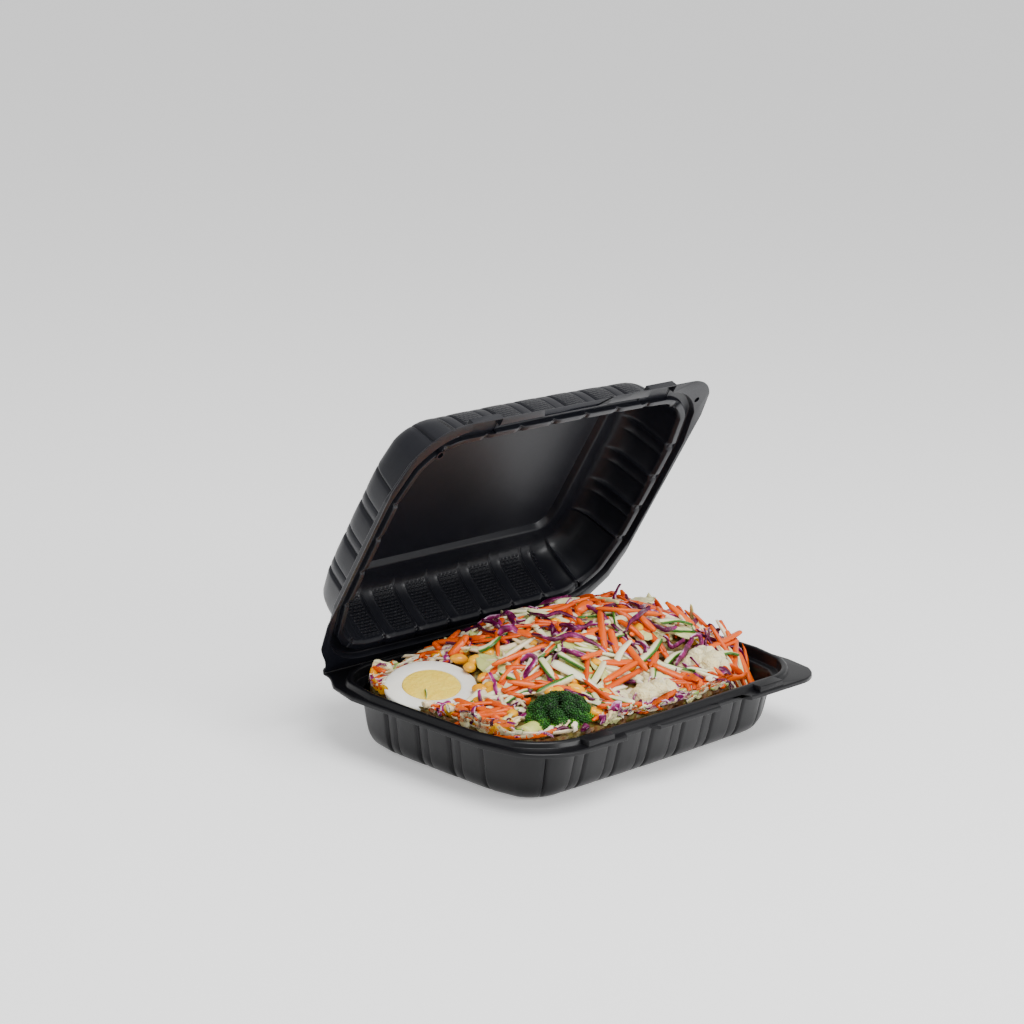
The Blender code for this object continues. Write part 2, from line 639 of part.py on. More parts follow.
def floret(name, mat, stem, crown, knobs, r_knob, seat_r, seed):
    col = bpy.data.collections.new(name + "_knobs")
    bpy.context.scene.collection.children.link(col)
    (x0, y0, z0, r0), (x1, y1, z1, r1) = stem
    d = Vector((x1 - x0, y1 - y0, z1 - z0))
    side = d.cross(Vector((0, 0, 1))).normalized()
    top = side.cross(d).normalized()
    v, f = [], []
    for i in range(4):
        s = i / 3
        r = r0 + (r1 - r0) * s
        for j in range(8):
            a = 2 * math.pi * j / 8
            v.append(Vector((x0, y0, z0)) + d * s + (side * math.cos(a) + top * math.sin(a)) * r)
    for i in range(3):
        for j in range(8):
            k = (j + 1) % 8
            f.append((i * 8 + j, i * 8 + k, (i + 1) * 8 + k, (i + 1) * 8 + j))
    f += [tuple(range(8))[::-1], tuple(range(24, 32))]
    ob = outward(make(name, v, f, mat))
    cx, cy, cz, rx, ry, rz = crown
    blob("crown", col, (cx, cy, cz), (rx * .8, ry * .8, rz * .8), 8, 5, .1, .7, seed)
    r = random.Random(seed)
    for i in range(knobs):
        z = 1 - 1.25 * (i + .5) / knobs
        a = i * 2.39996 + .3 * r.random()
        q = math.sqrt(max(0, 1 - z * z))
        k = r_knob * r.uniform(.8, 1.2)
        blob("knob", col, (cx + rx * .78 * q * math.cos(a), cy + ry * .78 * q * math.sin(a), cz + rz * .78 * z),
             (k, k, k * .9), 6, 3, .12, .5, seed + i)
    boolean(ob, col, "UNION")
    keep_largest(ob)
    blob("seat", seats, (cx, cy, cz + 1), (rx + seat_r, ry + seat_r, rz + seat_r), 12, 7, 0.0)
    a, b = Vector((x0, y0, z0)), Vector((x1, y1, z1))
    strip_seat(a, b, r0 + 1.2, r1 + 1.2)
    return ob


def strip_seat(a, b, ra, rb):
    v = []
    d = (b - a).normalized()
    side = d.cross(Vector((0, 0, 1))).normalized()
    top = side.cross(d).normalized()
    for p, r in ((a - d * 1.5, ra), (b, rb)):
        v += [p - side * r - top * r, p + side * r - top * r, p + side * r + top * 14, p - side * r + top * 14]
    f = [(0, 3, 2, 1), (4, 5, 6, 7), (0, 1, 5, 4), (1, 2, 6, 5), (2, 3, 7, 6), (3, 0, 4, 7)]
    outward(make("seat", v, f, None, seats))


floret("broccoli_floret", green_mat, ((-87, -48, 34.4, 5.0), (-71, -46, 34.4, 6.4)),
       (-58, -44, 34.6, 18, 14.5, 11), 14, 5.2, 4.2, 5)
floret("cauliflower_floret", cream_mat, ((66, -34, 34.0, 5.0), (62, -40, 37.0, 6.5)),
       (57, -45, 39.2, 13.5, 12, 8.4), 9, 5.4, 4.6, 9)
chunk = blob("pale_chunk", part, (4, -55, 35.2), (20.5, 7.4, 6.6), 14, 8, .22, .5, 4.2, inside, pale_mat)
blob("seat", seats, (4, -55, 35.2), (21.6, 8.5, 7.7), 14, 8, .22, .5, 4.2)
blob("seat", seats, (4, -55, 43.0), (19.0, 8.0, 8.0), 10, 6, 0.0)
boolean(heap, seats, "DIFFERENCE", "MANIFOLD")
keep_largest(heap)

for ob in list(tools.objects):
    bpy.data.objects.remove(ob, do_unlink=True)
for ob in part.objects:
    bm = bmesh.new()
    bm.from_mesh(ob.data)
    bmesh.ops.triangulate(bm, faces=bm.faces)
    bm.to_mesh(ob.data)
    bm.free()
tools.hide_render = True
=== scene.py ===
import math
import random

import bmesh
import bpy
import numpy as np
from mathutils import Matrix, Vector
from mathutils.noise import noise


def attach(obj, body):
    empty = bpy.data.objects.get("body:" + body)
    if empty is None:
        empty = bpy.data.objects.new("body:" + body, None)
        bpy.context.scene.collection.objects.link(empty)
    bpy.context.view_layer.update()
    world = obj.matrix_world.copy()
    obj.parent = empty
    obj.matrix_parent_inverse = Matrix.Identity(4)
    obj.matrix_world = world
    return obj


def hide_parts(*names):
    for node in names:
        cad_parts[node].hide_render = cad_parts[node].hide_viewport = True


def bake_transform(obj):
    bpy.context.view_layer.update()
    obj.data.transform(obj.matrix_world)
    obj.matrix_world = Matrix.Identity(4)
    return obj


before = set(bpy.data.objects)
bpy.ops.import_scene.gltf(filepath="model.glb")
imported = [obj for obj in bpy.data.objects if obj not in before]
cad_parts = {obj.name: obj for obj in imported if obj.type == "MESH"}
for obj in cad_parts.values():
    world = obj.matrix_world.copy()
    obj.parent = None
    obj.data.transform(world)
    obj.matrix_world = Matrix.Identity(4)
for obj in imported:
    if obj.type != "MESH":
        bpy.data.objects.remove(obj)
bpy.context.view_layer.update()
MM = 0.001

# sizes of the box, in millimetres, as in the part
XW, YW, R0 = 104.7, 69.5, 30.0
BOW_LONG, BOW_SHORT = 1.0, 0.6
DRAFT, FLUTE = 0.18, 1.2
PITCH_LONG, PITCH_SHORT = 25.0, 23.0
FX, FY = 117.0, 84.5
HINGE_Y, HINGE_Z, HINGE_HALF = 84.0, 34.15, 102.0
OPEN = math.radians(61.5)
LATCH_X, LATCH_HALF = 68.0, 10.0

# the camera, worked out from the photograph's outline of the box
FOCAL_PX = 2862.15
AZ, EL, ROLL = math.radians(-47.16), math.radians(14.87), math.radians(2.74)
EYE = Vector((-1093.35, -965.38, 509.71))
BACK = Vector((math.sin(AZ) * math.cos(EL), -math.cos(AZ) * math.cos(EL), math.sin(EL)))
_right = Vector((math.cos(AZ), math.sin(AZ), 0.0))
_up = BACK.cross(_right)
RIGHT = _right * math.cos(ROLL) + _up * math.sin(ROLL)
UP = _up * math.cos(ROLL) - _right * math.sin(ROLL)


# shader maths as plain expressions
class Value:
    def __init__(self, finish, socket):
        self.finish, self.socket = finish, socket

    def _math(self, op, *rest, swap=False):
        items = [self, *rest]
        return self.finish.node("ShaderNodeMath", {"operation": op}, *(items[::-1] if swap else items))

    def __add__(self, o): return self._math("ADD", o)
    def __sub__(self, o): return self._math("SUBTRACT", o)
    def __mul__(self, o): return self._math("MULTIPLY", o)
    def __truediv__(self, o): return self._math("DIVIDE", o)
    def __mod__(self, o): return self._math("FLOORED_MODULO", o)
    def __radd__(self, o): return self._math("ADD", o)
    def __rmul__(self, o): return self._math("MULTIPLY", o)
    def __rsub__(self, o): return self._math("SUBTRACT", o, swap=True)
    def floor(self): return self._math("FLOOR")
    def sin(self): return self._math("SINE")
    def abs(self): return self._math("ABSOLUTE")
    def least(self, o): return self._math("MINIMUM", o)

    def step(self, lo, hi):
        return self.finish.node("ShaderNodeMapRange", {"interpolation_type": "SMOOTHSTEP"}, self, lo, hi, 0.0, 1.0)


class Finish:
    """A material with one Principled shader."""

    def __init__(self, name, **fixed):
        self.data = bpy.data.materials.new(name)
        self.data.use_nodes = True
        self.tree = self.data.node_tree
        self.shader = self.tree.nodes["Principled BSDF"]
        for key, value in fixed.items():
            self.shader.inputs[key.replace("_", " ")].default_value = value

    def node(self, kind, settings=None, *inputs, out=0, **named):
        n = self.tree.nodes.new(kind)
        for key, value in (settings or {}).items():
            if key == "stops":
                for i, (pos, colour) in enumerate(value):
                    e = n.color_ramp.elements[i] if i < 2 else n.color_ramp.elements.new(pos)
                    e.position, e.color = pos, (*colour, 1.0)
            else:
                setattr(n, key, value)
        pairs = list(zip(n.inputs, inputs)) + [(n.inputs[k.replace("_", " ")], v) for k, v in named.items()]
        for socket, value in pairs:
            self.put(socket, value)
        return Value(self, n.outputs[out])

    def put(self, socket, value):
        if isinstance(value, Value):
            self.tree.links.new(value.socket, socket)
        elif value is not None:
            if isinstance(value, tuple) and len(value) == 3 and socket.type == "RGBA":
                value = (*value, 1.0)
            socket.default_value = value

    def feed(self, name, value):
        self.put(self.shader.inputs[name], value)
        return self

    def place(self):
        return self.node("ShaderNodeTexCoord", None, out=3)

    def attribute(self, name, out=2):
        return self.node("ShaderNodeAttribute", {"attribute_name": name}, out=out)

    def noise(self, scale, detail=3.0, rough=0.5, where=None, out=0, stretch=None):
        where = where or self.place()
        if stretch:
            where = self.node("ShaderNodeMapping", None, where, Scale=stretch)
        return self.node("ShaderNodeTexNoise", None, out=out, Vector=where, Scale=scale, Detail=detail,
                         Roughness=rough)

    def cells(self, scale, where=None, feature="F1", out=0):
        return self.node("ShaderNodeTexVoronoi", {"feature": feature}, out=out, Vector=where or self.place(),
                         Scale=scale)

    def ramp(self, value, *stops):
        return self.node("ShaderNodeValToRGB", {"stops": stops}, value)

    def mix(self, f, a, b):
        n = self.tree.nodes.new("ShaderNodeMix")
        n.data_type = "RGBA"
        for socket, value in ((n.inputs[0], f), (n.inputs[6], a), (n.inputs[7], b)):
            self.put(socket, value)
        return Value(self, n.outputs[2])

    def bump(self, height, distance, strength=1.0):
        n = self.node("ShaderNodeBump", None, Strength=strength, Distance=distance, Height=height)
        self.put(self.shader.inputs["Normal"], n)
        return self


def srgb(*rgb):
    return tuple((c / 255 / 12.92) if c / 255 <= .04045 else ((c / 255 + .055) / 1.055) ** 2.4 for c in rgb)


# the box: rings of points round the outline, lofted from the middle of the underside to the middle inside
def ramp(a, b, x):
    s = np.clip((x - a) / (b - a), 0.0, 1.0)
    return s * s * (3 - 2 * s)


def rounded(hx, hy, r, t):
    """Points and outward normals of a rounded rectangle; t runs 0 to 8 round it from the latch side."""
    t = np.asarray(t, float)
    k, f = np.floor(t).astype(int) % 8, t - np.floor(t)
    a, b = hx - r, hy - r
    p, n = np.zeros((len(t), 2)), np.zeros((len(t), 2))
    starts = [(-a, -hy), (hx, -b), (a, hy), (-hx, b)]
    runs = [(2 * a, 0), (0, 2 * b), (-2 * a, 0), (0, -2 * b)]
    outs = [(0, -1), (1, 0), (0, 1), (-1, 0)]
    centres = [(a, -b), (a, b), (-a, b), (-a, -b)]
    for side in range(4):
        m = k == 2 * side
        p[m] = np.array(starts[side]) + f[m, None] * np.array(runs[side])
        n[m] = outs[side]
        m = k == 2 * side + 1
        q = np.radians(-90 + 90 * side + 90 * f[m])
        n[m] = np.stack([np.cos(q), np.sin(q)], 1)
        p[m] = np.array(centres[side]) + r * n[m]
    return p, n


def arc_to_t(side, s):
    half = (XW - R0) if side in (0, 4) else (YW - R0)
    arc = (R0 - 3.0) * math.pi / 2
    if s < -half:
        return (side - (-half - s) / arc) % 8
    if s > half:
        return side + 1 + (s - half) / arc
    return side + (s + half) / (2 * half)


def flute(s, pitch, broad_first):
    """Depth of the wall's relief at distance s into a pitch: groove, broad panel, crease, rib."""
    a = s if broad_first else pitch - s
    groove = -1.0 * (math.exp(-(s / .75) ** 2) + math.exp(-((pitch - s) / .75) ** 2))
    crease_at = .67 * pitch
    m, h = (1.0 + crease_at) / 2, (crease_at - 1.0) / 2
    broad = max(0.0, 1 - abs((a - m) / h) ** 4) if a < crease_at else 0.0
    m, h = (crease_at + pitch - 1.0) / 2, (pitch - 1.0 - crease_at) / 2
    rib = max(0.0, 1 - abs((a - m) / h) ** 4) if a > crease_at else 0.0
    return groove + .34 * broad + .12 * rib - .25 * math.exp(-((a - crease_at) / .55) ** 2)


def stations():
    """Ring parameters with the flute depth, the broad panel mask and the groove mask at each."""
    rows = []
    for side, pitch, count, broad_first in ((0, PITCH_LONG, 7, True), (2, PITCH_SHORT, 3, False),
                                            (4, PITCH_LONG, 7, True), (6, PITCH_SHORT, 3, False)):
        half = pitch * count / 2
        cuts = [0, .35, .7, 1.1, 1.6, 2.4, .25 * pitch, .45 * pitch, .6 * pitch,
                .67 * pitch - .7, .67 * pitch, .67 * pitch + .7, .78 * pitch, .88 * pitch]
        if not broad_first:
            cuts = [pitch - c for c in cuts if c > 0] + [0]
        cuts = sorted(set(cuts + [pitch - 1.6, pitch - 1.1, pitch - .7, pitch - .35]))
        for i in range(count):
            for c in cuts:
                a = c if broad_first else pitch - c
                panel = 1.0 if 1.3 < a < .64 * pitch else 0.0
                rows.append((arc_to_t(side, -half + i * pitch + c), flute(c, pitch, broad_first), panel,
                             math.exp(-(c / 1.5) ** 2) + math.exp(-((pitch - c) / 1.5) ** 2)))
        rows.append((arc_to_t(side, half), -1.0, 0.0, 1.0))
        for e in (.35, .7, 1.1, 1.6, 2.4):
            w = math.exp(-(e / .75) ** 2)
            for sign in (-1, 1):
                rows.append((arc_to_t(side, sign * (half + e)), -w, 0.0, math.exp(-(e / 1.5) ** 2)))
    for c in (1, 3, 5, 7):
        for i in range(9):
            rows.append((c + .335 + .33 * i / 8, .30 * max(0, 1 - abs((i - 4) / 4) ** 4), 0.0, 0.0))
    for x in (-66, -58, -50, -48.5, -47, -35, -27, -25.5, -24, -12, 0, 12, 24, 25.5, 27, 35, 47, 48.5, 50, 58, 66, 80):
        t = (x + FX - 36) / (2 * FX - 60)
        rows.append((t, None, None, None))
    rows.sort(key=lambda r: r[0])
    t = np.array([r[0] for r in rows])
    known = np.array([r[1] is not None for r in rows])
    out = [t]
    for i in (1, 2, 3):
        v = np.array([r[i] if r[i] is not None else 0.0 for r in rows], float)
        v[~known] = np.interp(t[~known], t[known], v[known])
        out.append(v)
    keep = np.concatenate([[True], np.diff(t) > 2e-4])
    return [v[keep] for v in out]


T, DEPTH, PANEL, GROOVE = stations()


def wall(u, z, depth=0.0):
    """Ring at offset u outside the wall's top outline."""
    p, n = rounded(XW, YW, R0, T)
    k, f = np.floor(T).astype(int), T - np.floor(T)
    bow = np.where(k % 2 == 0, np.where(k % 4 == 0, BOW_LONG, BOW_SHORT), 0.0) * (1 - (2 * f - 1) ** 2)
    p = p + n * (np.asarray(u) + bow + FLUTE * DEPTH * depth)[:, None]
    return np.column_stack([p, np.broadcast_to(z, len(T))])


def panel(hx, hy, r, z):
    p, n = rounded(hx, hy, r, T)
    return np.column_stack([p, np.full(len(T), z)])


def flange_outline(gap):
    yb, ear, nose = HINGE_Y - gap, 24.0, 36.0
    back = np.array([(FX, 50.0), (FX, 68.0), (103.0, 72.0), (HINGE_HALF, yb)])
    k, f = np.floor(T).astype(int) % 8, T - np.floor(T)
    p = np.zeros((len(T), 2))

    def bezier(g):
        h = 1 - g
        return (h ** 3)[:, None] * back[0] + (3 * h * h * g)[:, None] * back[1] \
            + (3 * h * g * g)[:, None] * back[2] + (g ** 3)[:, None] * back[3]
    m = k == 0
    p[m] = np.column_stack([-(FX - nose) + f[m] * (2 * FX - nose - ear), np.full(m.sum(), -FY)])
    m = k == 1
    q = np.radians(-90 + 90 * f[m])
    p[m] = np.column_stack([FX - ear + ear * np.cos(q), -FY + ear + ear * np.sin(q)])
    m = k == 2
    p[m] = np.column_stack([np.full(m.sum(), FX), -FY + ear + f[m] * (50.0 + FY - ear)])
    m = k == 3
    p[m] = bezier(f[m])
    m = k == 4
    p[m] = np.column_stack([HINGE_HALF - f[m] * 2 * HINGE_HALF, np.full(m.sum(), yb)])
    m = k == 5
    p[m] = bezier(1 - f[m]) * (-1, 1)
    m = k == 6
    p[m] = np.column_stack([np.full(m.sum(), -FX), 50.0 - f[m] * (50.0 + FY - nose)])
    m = k == 7
    q = np.radians(180 + 90 * f[m])
    p[m] = np.column_stack([-FX + nose + nose * np.cos(q), -FY + nose + nose * np.sin(q)])
    d = np.roll(p, -1, 0) - np.roll(p, 1, 0)
    n = np.column_stack([d[:, 1], -d[:, 0]]) / np.maximum(np.linalg.norm(d, axis=1), 1e-9)[:, None]
    for side, out in ((0, (0, -1)), (2, (1, 0)), (4, (0, 1)), (6, (-1, 0))):
        n[k == side] = out
    return p, n, k


def flange(u, z, notch):
    p, n, k = flange_outline(.3)
    u = np.full(len(T), float(u)) - np.where(k == 0, notch(p[:, 0]), 0.0)
    return np.column_stack([p + n * u[:, None], np.broadcast_to(z, len(T))])


def tray_notch(x):
    a = np.abs(x)
    return 4.0 * ramp(24.0, 27.0, a) * (1 - ramp(47.0, 50.0, a))


def lid_notch(x):
    return 5.0 * (1 - ramp(24.0, 27.0, np.abs(x)))


def rounded_rings(rings):
    """Rings with a corner radius each become smooth runs of rings."""
    out = []
    for i, (p, r) in enumerate(rings):
        if not r or i in (0, len(rings) - 1):
            out.append(p)
            continue
        a, b = rings[i - 1][0] - p, rings[i + 1][0] - p
        la, lb = np.linalg.norm(a, axis=1)[:, None], np.linalg.norm(b, axis=1)[:, None]
        a = p + a * np.minimum(r / np.maximum(la, 1e-6), .48)
        b = p + b * np.minimum(r / np.maximum(lb, 1e-6), .48)
        steps = 5 if r >= 2 else 3
        for j in range(steps + 1):
            f = j / steps
            out.append(a * (1 - f) ** 2 + p * 2 * f * (1 - f) + b * f * f)
    return out


def mesh_object(name, verts, faces):
    """A new object from points in millimetres."""
    me = bpy.data.meshes.new(name)
    me.from_pydata([tuple(c * MM for c in v) for v in verts], [], faces)
    ob = bpy.data.objects.new(name, me)
    bpy.context.scene.collection.objects.link(ob)
    return ob


def face_outward(me):
    bm = bmesh.new()
    bm.from_mesh(me)
    bmesh.ops.recalc_face_normals(bm, faces=bm.faces)
    bm.to_mesh(me)
    bm.free()


def tube_faces(rows, seg):
    """The four-sided faces between closed rings of seg points each."""
    return [(i * seg + j, i * seg + (j + 1) % seg, (i + 1) * seg + (j + 1) % seg, (i + 1) * seg + j)
            for i in range(rows - 1) for j in range(seg)]


def shell(name, rings, low, high):
    """A closed body through all the rings, capped flat at its first and last."""
    rings = rounded_rings(rings)
    n, m = len(rings), len(T)
    verts = np.concatenate(rings + [[(0, 0, low), (0, 0, high)]])
    faces = tube_faces(n, m)
    for j in range(m):
        k = (j + 1) % m
        faces.append((n * m, k, j))
        faces.append((n * m + 1, (n - 1) * m + j, (n - 1) * m + k))
    ob = mesh_object(name, verts.tolist(), faces)
    me = ob.data
    # arc length round the wall and the broad panel mask, for the patterns on it
    arc = np.concatenate([[0], np.cumsum(np.linalg.norm(np.diff(wall(0, 0)[:, :2], axis=0), axis=1))])
    data = me.attributes.new("along", "FLOAT", "POINT")
    data.data.foreach_set("value", np.concatenate([np.tile(arc, n), [0, 0]]).astype(np.float32))
    data = me.attributes.new("panel", "FLOAT", "POINT")
    data.data.foreach_set("value", np.concatenate([np.tile(PANEL * ((T < 1) | ((T > 4) & (T < 5))), n),
                                                   [0, 0]]).astype(np.float32))
    bm = bmesh.new()
    bm.from_mesh(me)
    if bm.calc_volume(signed=True) < 0:
        bmesh.ops.reverse_faces(bm, faces=bm.faces)
    bm.to_mesh(me)
    bm.free()
    return ob


def block(x0, x1, y0, y1, z0, z1, draft=0.0, bevel=0.0):
    """A block whose top is drawn in by draft and may be rounded."""
    v = [(x, y, z) for z, d in ((z0, 0.0), (z1, draft)) for x, y in
         ((x0 + d, y0 + d), (x1 - d, y0 + d), (x1 - d, y1 - d), (x0 + d, y1 - d))]
    f = [(3, 2, 1, 0), (4, 5, 6, 7), (0, 1, 5, 4), (1, 2, 6, 5), (2, 3, 7, 6), (3, 0, 4, 7)]
    ob = mesh_object("block", v, f)
    me = ob.data
    if bevel:
        bm = bmesh.new()
        bm.from_mesh(me)
        bmesh.ops.bevel(bm, geom=[e for e in bm.edges if max(w.co.z for w in e.verts) > (z1 - .01) * MM],
                        offset=bevel * MM, segments=3, profile=.5, affect="EDGES")
        bm.to_mesh(me)
        bm.free()
    return ob


def drum(x, y, r, z0, z1, bevel=0.0, n=28):
    bm = bmesh.new()
    bmesh.ops.create_cone(bm, cap_ends=True, segments=n, radius1=r * MM, radius2=r * MM, depth=(z1 - z0) * MM)
    bmesh.ops.translate(bm, verts=bm.verts, vec=Vector((x, y, (z0 + z1) / 2)) * MM)
    if bevel:
        top = [e for e in bm.edges if all(abs(w.co.z - z1 * MM) < 1e-6 for w in e.verts)]
        bmesh.ops.bevel(bm, geom=top, offset=bevel * MM, segments=3, profile=.5, affect="EDGES")
    me = bpy.data.meshes.new("drum")
    bm.to_mesh(me)
    bm.free()
    ob = bpy.data.objects.new("drum", me)
    bpy.context.scene.collection.objects.link(ob)
    return ob


def boolean(ob, other, op):
    m = ob.modifiers.new("b", "BOOLEAN")
    m.operation, m.solver, m.object = op, "EXACT", other
    me = bpy.data.meshes.new_from_object(ob.evaluated_get(bpy.context.evaluated_depsgraph_get()))
    ob.modifiers.clear()
    ob.data = me
    bpy.data.objects.remove(other, do_unlink=True)


def shade(ob, angle=32):
    """Smooth shading with edges sharper than the angle kept."""
    me = ob.data
    me.shade_smooth()
    bm = bmesh.new()
    bm.from_mesh(me)
    lim = math.radians(angle)
    for e in bm.edges:
        if len(e.link_faces) == 2:
            e.smooth = e.calc_face_angle(0.0) < lim
    bm.to_mesh(me)
    bm.free()


def lip(t):
    return 1.4 * (1 - ramp(2.95, 3.5, t) * (1 - ramp(5.5, 6.05, t)))


def plastic(name, base, coat):
    m = Finish(name, IOR=1.42, Specular_IOR_Level=.34, Coat_Roughness=.22)
    grain = m.noise(2600, 2, .6)
    blotch = m.noise(38, 3, .5)
    m.feed("Base Color", m.mix(blotch, base, tuple(c * 1.22 for c in base)))
    m.feed("Roughness", blotch * .10 + grain * .07 + .26)
    m.feed("Coat Weight", blotch * .1 + coat)
    return m, grain, blotch


tray_finish, grain, blotch = plastic("tray_plastic", srgb(9, 9, 12), .0)
tray_finish.bump(grain * .35 + blotch * 2.2, .00009, .5)

lid_finish, grain, blotch = plastic("lid_plastic", srgb(17, 18, 24), .0)
along, height = lid_finish.attribute("along"), lid_finish.attribute("up_wall")
mask = lid_finish.attribute("panel").step(.35, .8) * lid_finish.attribute("pips")
row = height / 1.9
shift = (row.floor() % 2.0) * .5
across = (along / 3.1 + shift) % 1.0
pips = (across * math.pi).sin() * ((row % 1.0) * math.pi).sin()
lid_finish.bump(pips.step(.10, .80) * mask * 7.5 + grain * .3 + blotch * 1.4, .00010, 1.0)

# the tray
F = tray_notch
rings = [
    (panel(80.0, 45.0, 10.0, 0.0), .6), (panel(81.0, 46.0, 11.0, 1.3), .5), (panel(83.2, 48.2, 12.0, 1.3), .5),
    (panel(84.2, 49.2, 13.0, 0.0), .5),
    (wall(-14.6, 0.0, .15), 2.0), (wall(-10.4, 1.0, .5), 2.0), (wall(-7.2, 3.2, .8), 2.5), (wall(-4.6, 7.2, 1), 3.0),
    (wall(-3.2, 12.4, 1), 2.0), (wall(-.9, 25.2, 1), 2.0), (wall(-.25, 28.6, .8), 1.2), (wall(.35, 30.2, .1), .5),
    (wall(5.0, 30.5), .7), (wall(5.9, 35.9), .6), (wall(7.4, 35.9), .6), (wall(8.3, 33.1), .5),
    (flange(-1.1, 33.1, F), .3), (flange(-.7, 33.1 - lip(T), F), .25), (flange(.2, 33.1 - lip(T), F), .25),
    (flange(0, 33.5, F), .2), (flange(-.6, 34.0, F), .35),
    (wall(9.1, 34.0), .5), (wall(8.2, 36.6), .7), (wall(6.6, 37.25), .9), (wall(5.0, 36.6), .8),
    (wall(4.2, 31.2), .7), (wall(.3, 31.0), .5),
    (wall(-.8, 30.0, .3), .8), (wall(-1.1, 28.2, .8), 1.2), (wall(-1.8, 25.0, 1), 2.0), (wall(-4.0, 12.6, 1), 2.0),
    (wall(-5.4, 7.8, 1), 3.0), (wall(-7.9, 4.0, .8), 2.5), (wall(-10.9, 1.9, .5), 2.0), (wall(-14.8, .9, .15), 2.0),
    (panel(85.0, 50.0, 13.0, .9), .4), (panel(83.8, 48.8, 12.0, 2.2), .5), (panel(80.4, 45.4, 10.0, 2.2), .5),
    (panel(79.2, 44.2, 9.0, .9), .4),
]
tray = shell("tray_shell", rings, 0.0, .9)
for sx in (-1, 1):
    x0, x1 = sx * LATCH_X - LATCH_HALF, sx * LATCH_X + LATCH_HALF
    boolean(tray, block(x0, x1, -83.5, -74.4, 33.4, 37.05, .35, .5), "UNION")
    boolean(tray, block(x0 + .8, x1 - .8, -82.7, -78.0, 30.0, 36.2, .4), "DIFFERENCE")
tray.data.materials.clear()
tray.data.materials.append(tray_finish.data)
shade(tray)

# the lid, made shut and then turned open about the hinge
N = lid_notch
top = HINGE_Z
nick = GROOVE.clip(0, 1)
rings = [
    (panel(79.5, 45.5, 9.5, top + 36.0), 1.2), (panel(82.0, 48.0, 11.0, top + 33.0), 1.2),
    (wall(-14.4, top + 33.0, .1), 3.0), (wall(-10.2, top + 32.0, .5), 2.5), (wall(-6.8, top + 29.6, .85), 3.0),
    (wall(-4.5, top + 25.6, 1), 3.0), (wall(-3.2, top + 21.0, 1), 2.0), (wall(-.5, top + 7.8, 1), 2.0),
    (wall(-.05, top + 5.2, .9), 1.0), (wall(.7, top + 2.2, .3), .7),
    (wall(3.1, top + 1.8), .5), (wall(3.8, top + 4.7), .8), (wall(9.6, top + 4.7), .9), (wall(10.4, top + .95), .5),
    (flange(-.4, top + .95, N), .25), (flange(0, top + .15, N), .15),
    (wall(9.6, top + .15), .4), (wall(8.9, top + 3.9), .7), (wall(4.5, top + 3.9), .6),
    (wall(3.9, top + .9 + 1.3 * nick), .35), (wall(.6 + 1.5 * nick, top + 1.2 + 1.3 * nick), .4),
    (wall(-.75 - .2 * nick, top + 3.2, .5), .7), (wall(-.9, top + 5.0, .9), 1.0), (wall(-1.3, top + 7.6, 1), 2.0),
    (wall(-4.0, top + 20.8, 1), 2.0), (wall(-5.3, top + 25.2, 1), 3.0), (wall(-7.5, top + 28.9, .85), 3.0),
    (wall(-10.7, top + 31.2, .5), 2.5), (wall(-14.6, top + 32.2, .1), 3.0),
    (panel(81.3, 47.3, 11.0, top + 32.2), 1.2), (panel(78.8, 44.8, 9.5, top + 35.2), 1.2),
]
lid = shell("lid_shell", rings, top + 36.0, top + 35.2)
rise = np.empty(len(lid.data.vertices) * 3, np.float32)
lid.data.vertices.foreach_get("co", rise)
rise = rise.reshape(-1, 3)[:, 2] / MM - top
for name, values in (("up_wall", rise), ("pips", ramp(5.0, 5.8, rise) * (1 - ramp(28.0, 30.0, rise)))):
    lid.data.attributes.new(name, "FLOAT", "POINT").data.foreach_set("value", values.astype(np.float32))
for sx in (-1, 1):
    x0, x1 = sx * LATCH_X - LATCH_HALF, sx * LATCH_X + LATCH_HALF
    boolean(lid, block(x0 - 1.2, x1 + 1.2, -84.3, -73.6, top + .3, top + 4.6, .3, .5), "UNION")
    boolean(lid, block(x0 - 2.6, x1 + 2.6, -80.4, -72.4, top + 3.3, top + 4.55, 0.0, .3), "UNION")
    boolean(lid, block(x0 - .4, x1 + .4, -83.9, -73.9, top - 1, top + 3.7, .1), "DIFFERENCE")
    boolean(lid, block(x0 - 1.4, x1 + 1.4, -79.3, -73.2, top - 1, top + 3.6), "DIFFERENCE")
for x, y in ((-93.0, -65.5), (104.8, -69.6)):
    boolean(lid, drum(x, y, 2.7, top + .5, top + 3.2, .8), "UNION")
    boolean(lid, drum(x, y, 1.8, top - 1, top + 2.4), "DIFFERENCE")
lid.data.materials.clear()
lid.data.materials.append(lid_finish.data)
shade(lid)


turn = Matrix.Translation((0, HINGE_Y * MM, HINGE_Z * MM)) @ Matrix.Rotation(-OPEN, 4, "X") \
    @ Matrix.Translation((0, -HINGE_Y * MM, -HINGE_Z * MM))
lid.data.transform(turn)


# the food: its heap height, and a way to place a piece by where it shows
HEAP_EDGE, HEAP_RISE = 35.0, 21.5           # height of the food at the walls, and how far its middle stands above
FOOD_LOW, FOOD_HIGH = 2.6, 65.0             # just above the floor, just below the shut lid
CLEAR, BEAD_Z = 3.2, 37.5                   # gap kept from the wall's outline, and the top of the tray's bead
MIDDLE = 512                                # of the picture, in pixels


def heap_top(x, y, rough=1.0):
    z = HEAP_EDGE + HEAP_RISE * math.exp(-((abs(x - 20) / 75) ** 4 + (abs(y - 15) / 46) ** 4))
    end = 115 - 50 * (1 - float(ramp(-66, -32, y)))
    z += rough * (1.9 * noise(Vector((x / 17, y / 17, .7))) + .9 * noise(Vector((x / 7, y / 7, 3.1))))
    return 3.4 + (z - 3.4) * (1 - float(ramp(end - 12, end + 3, x)))


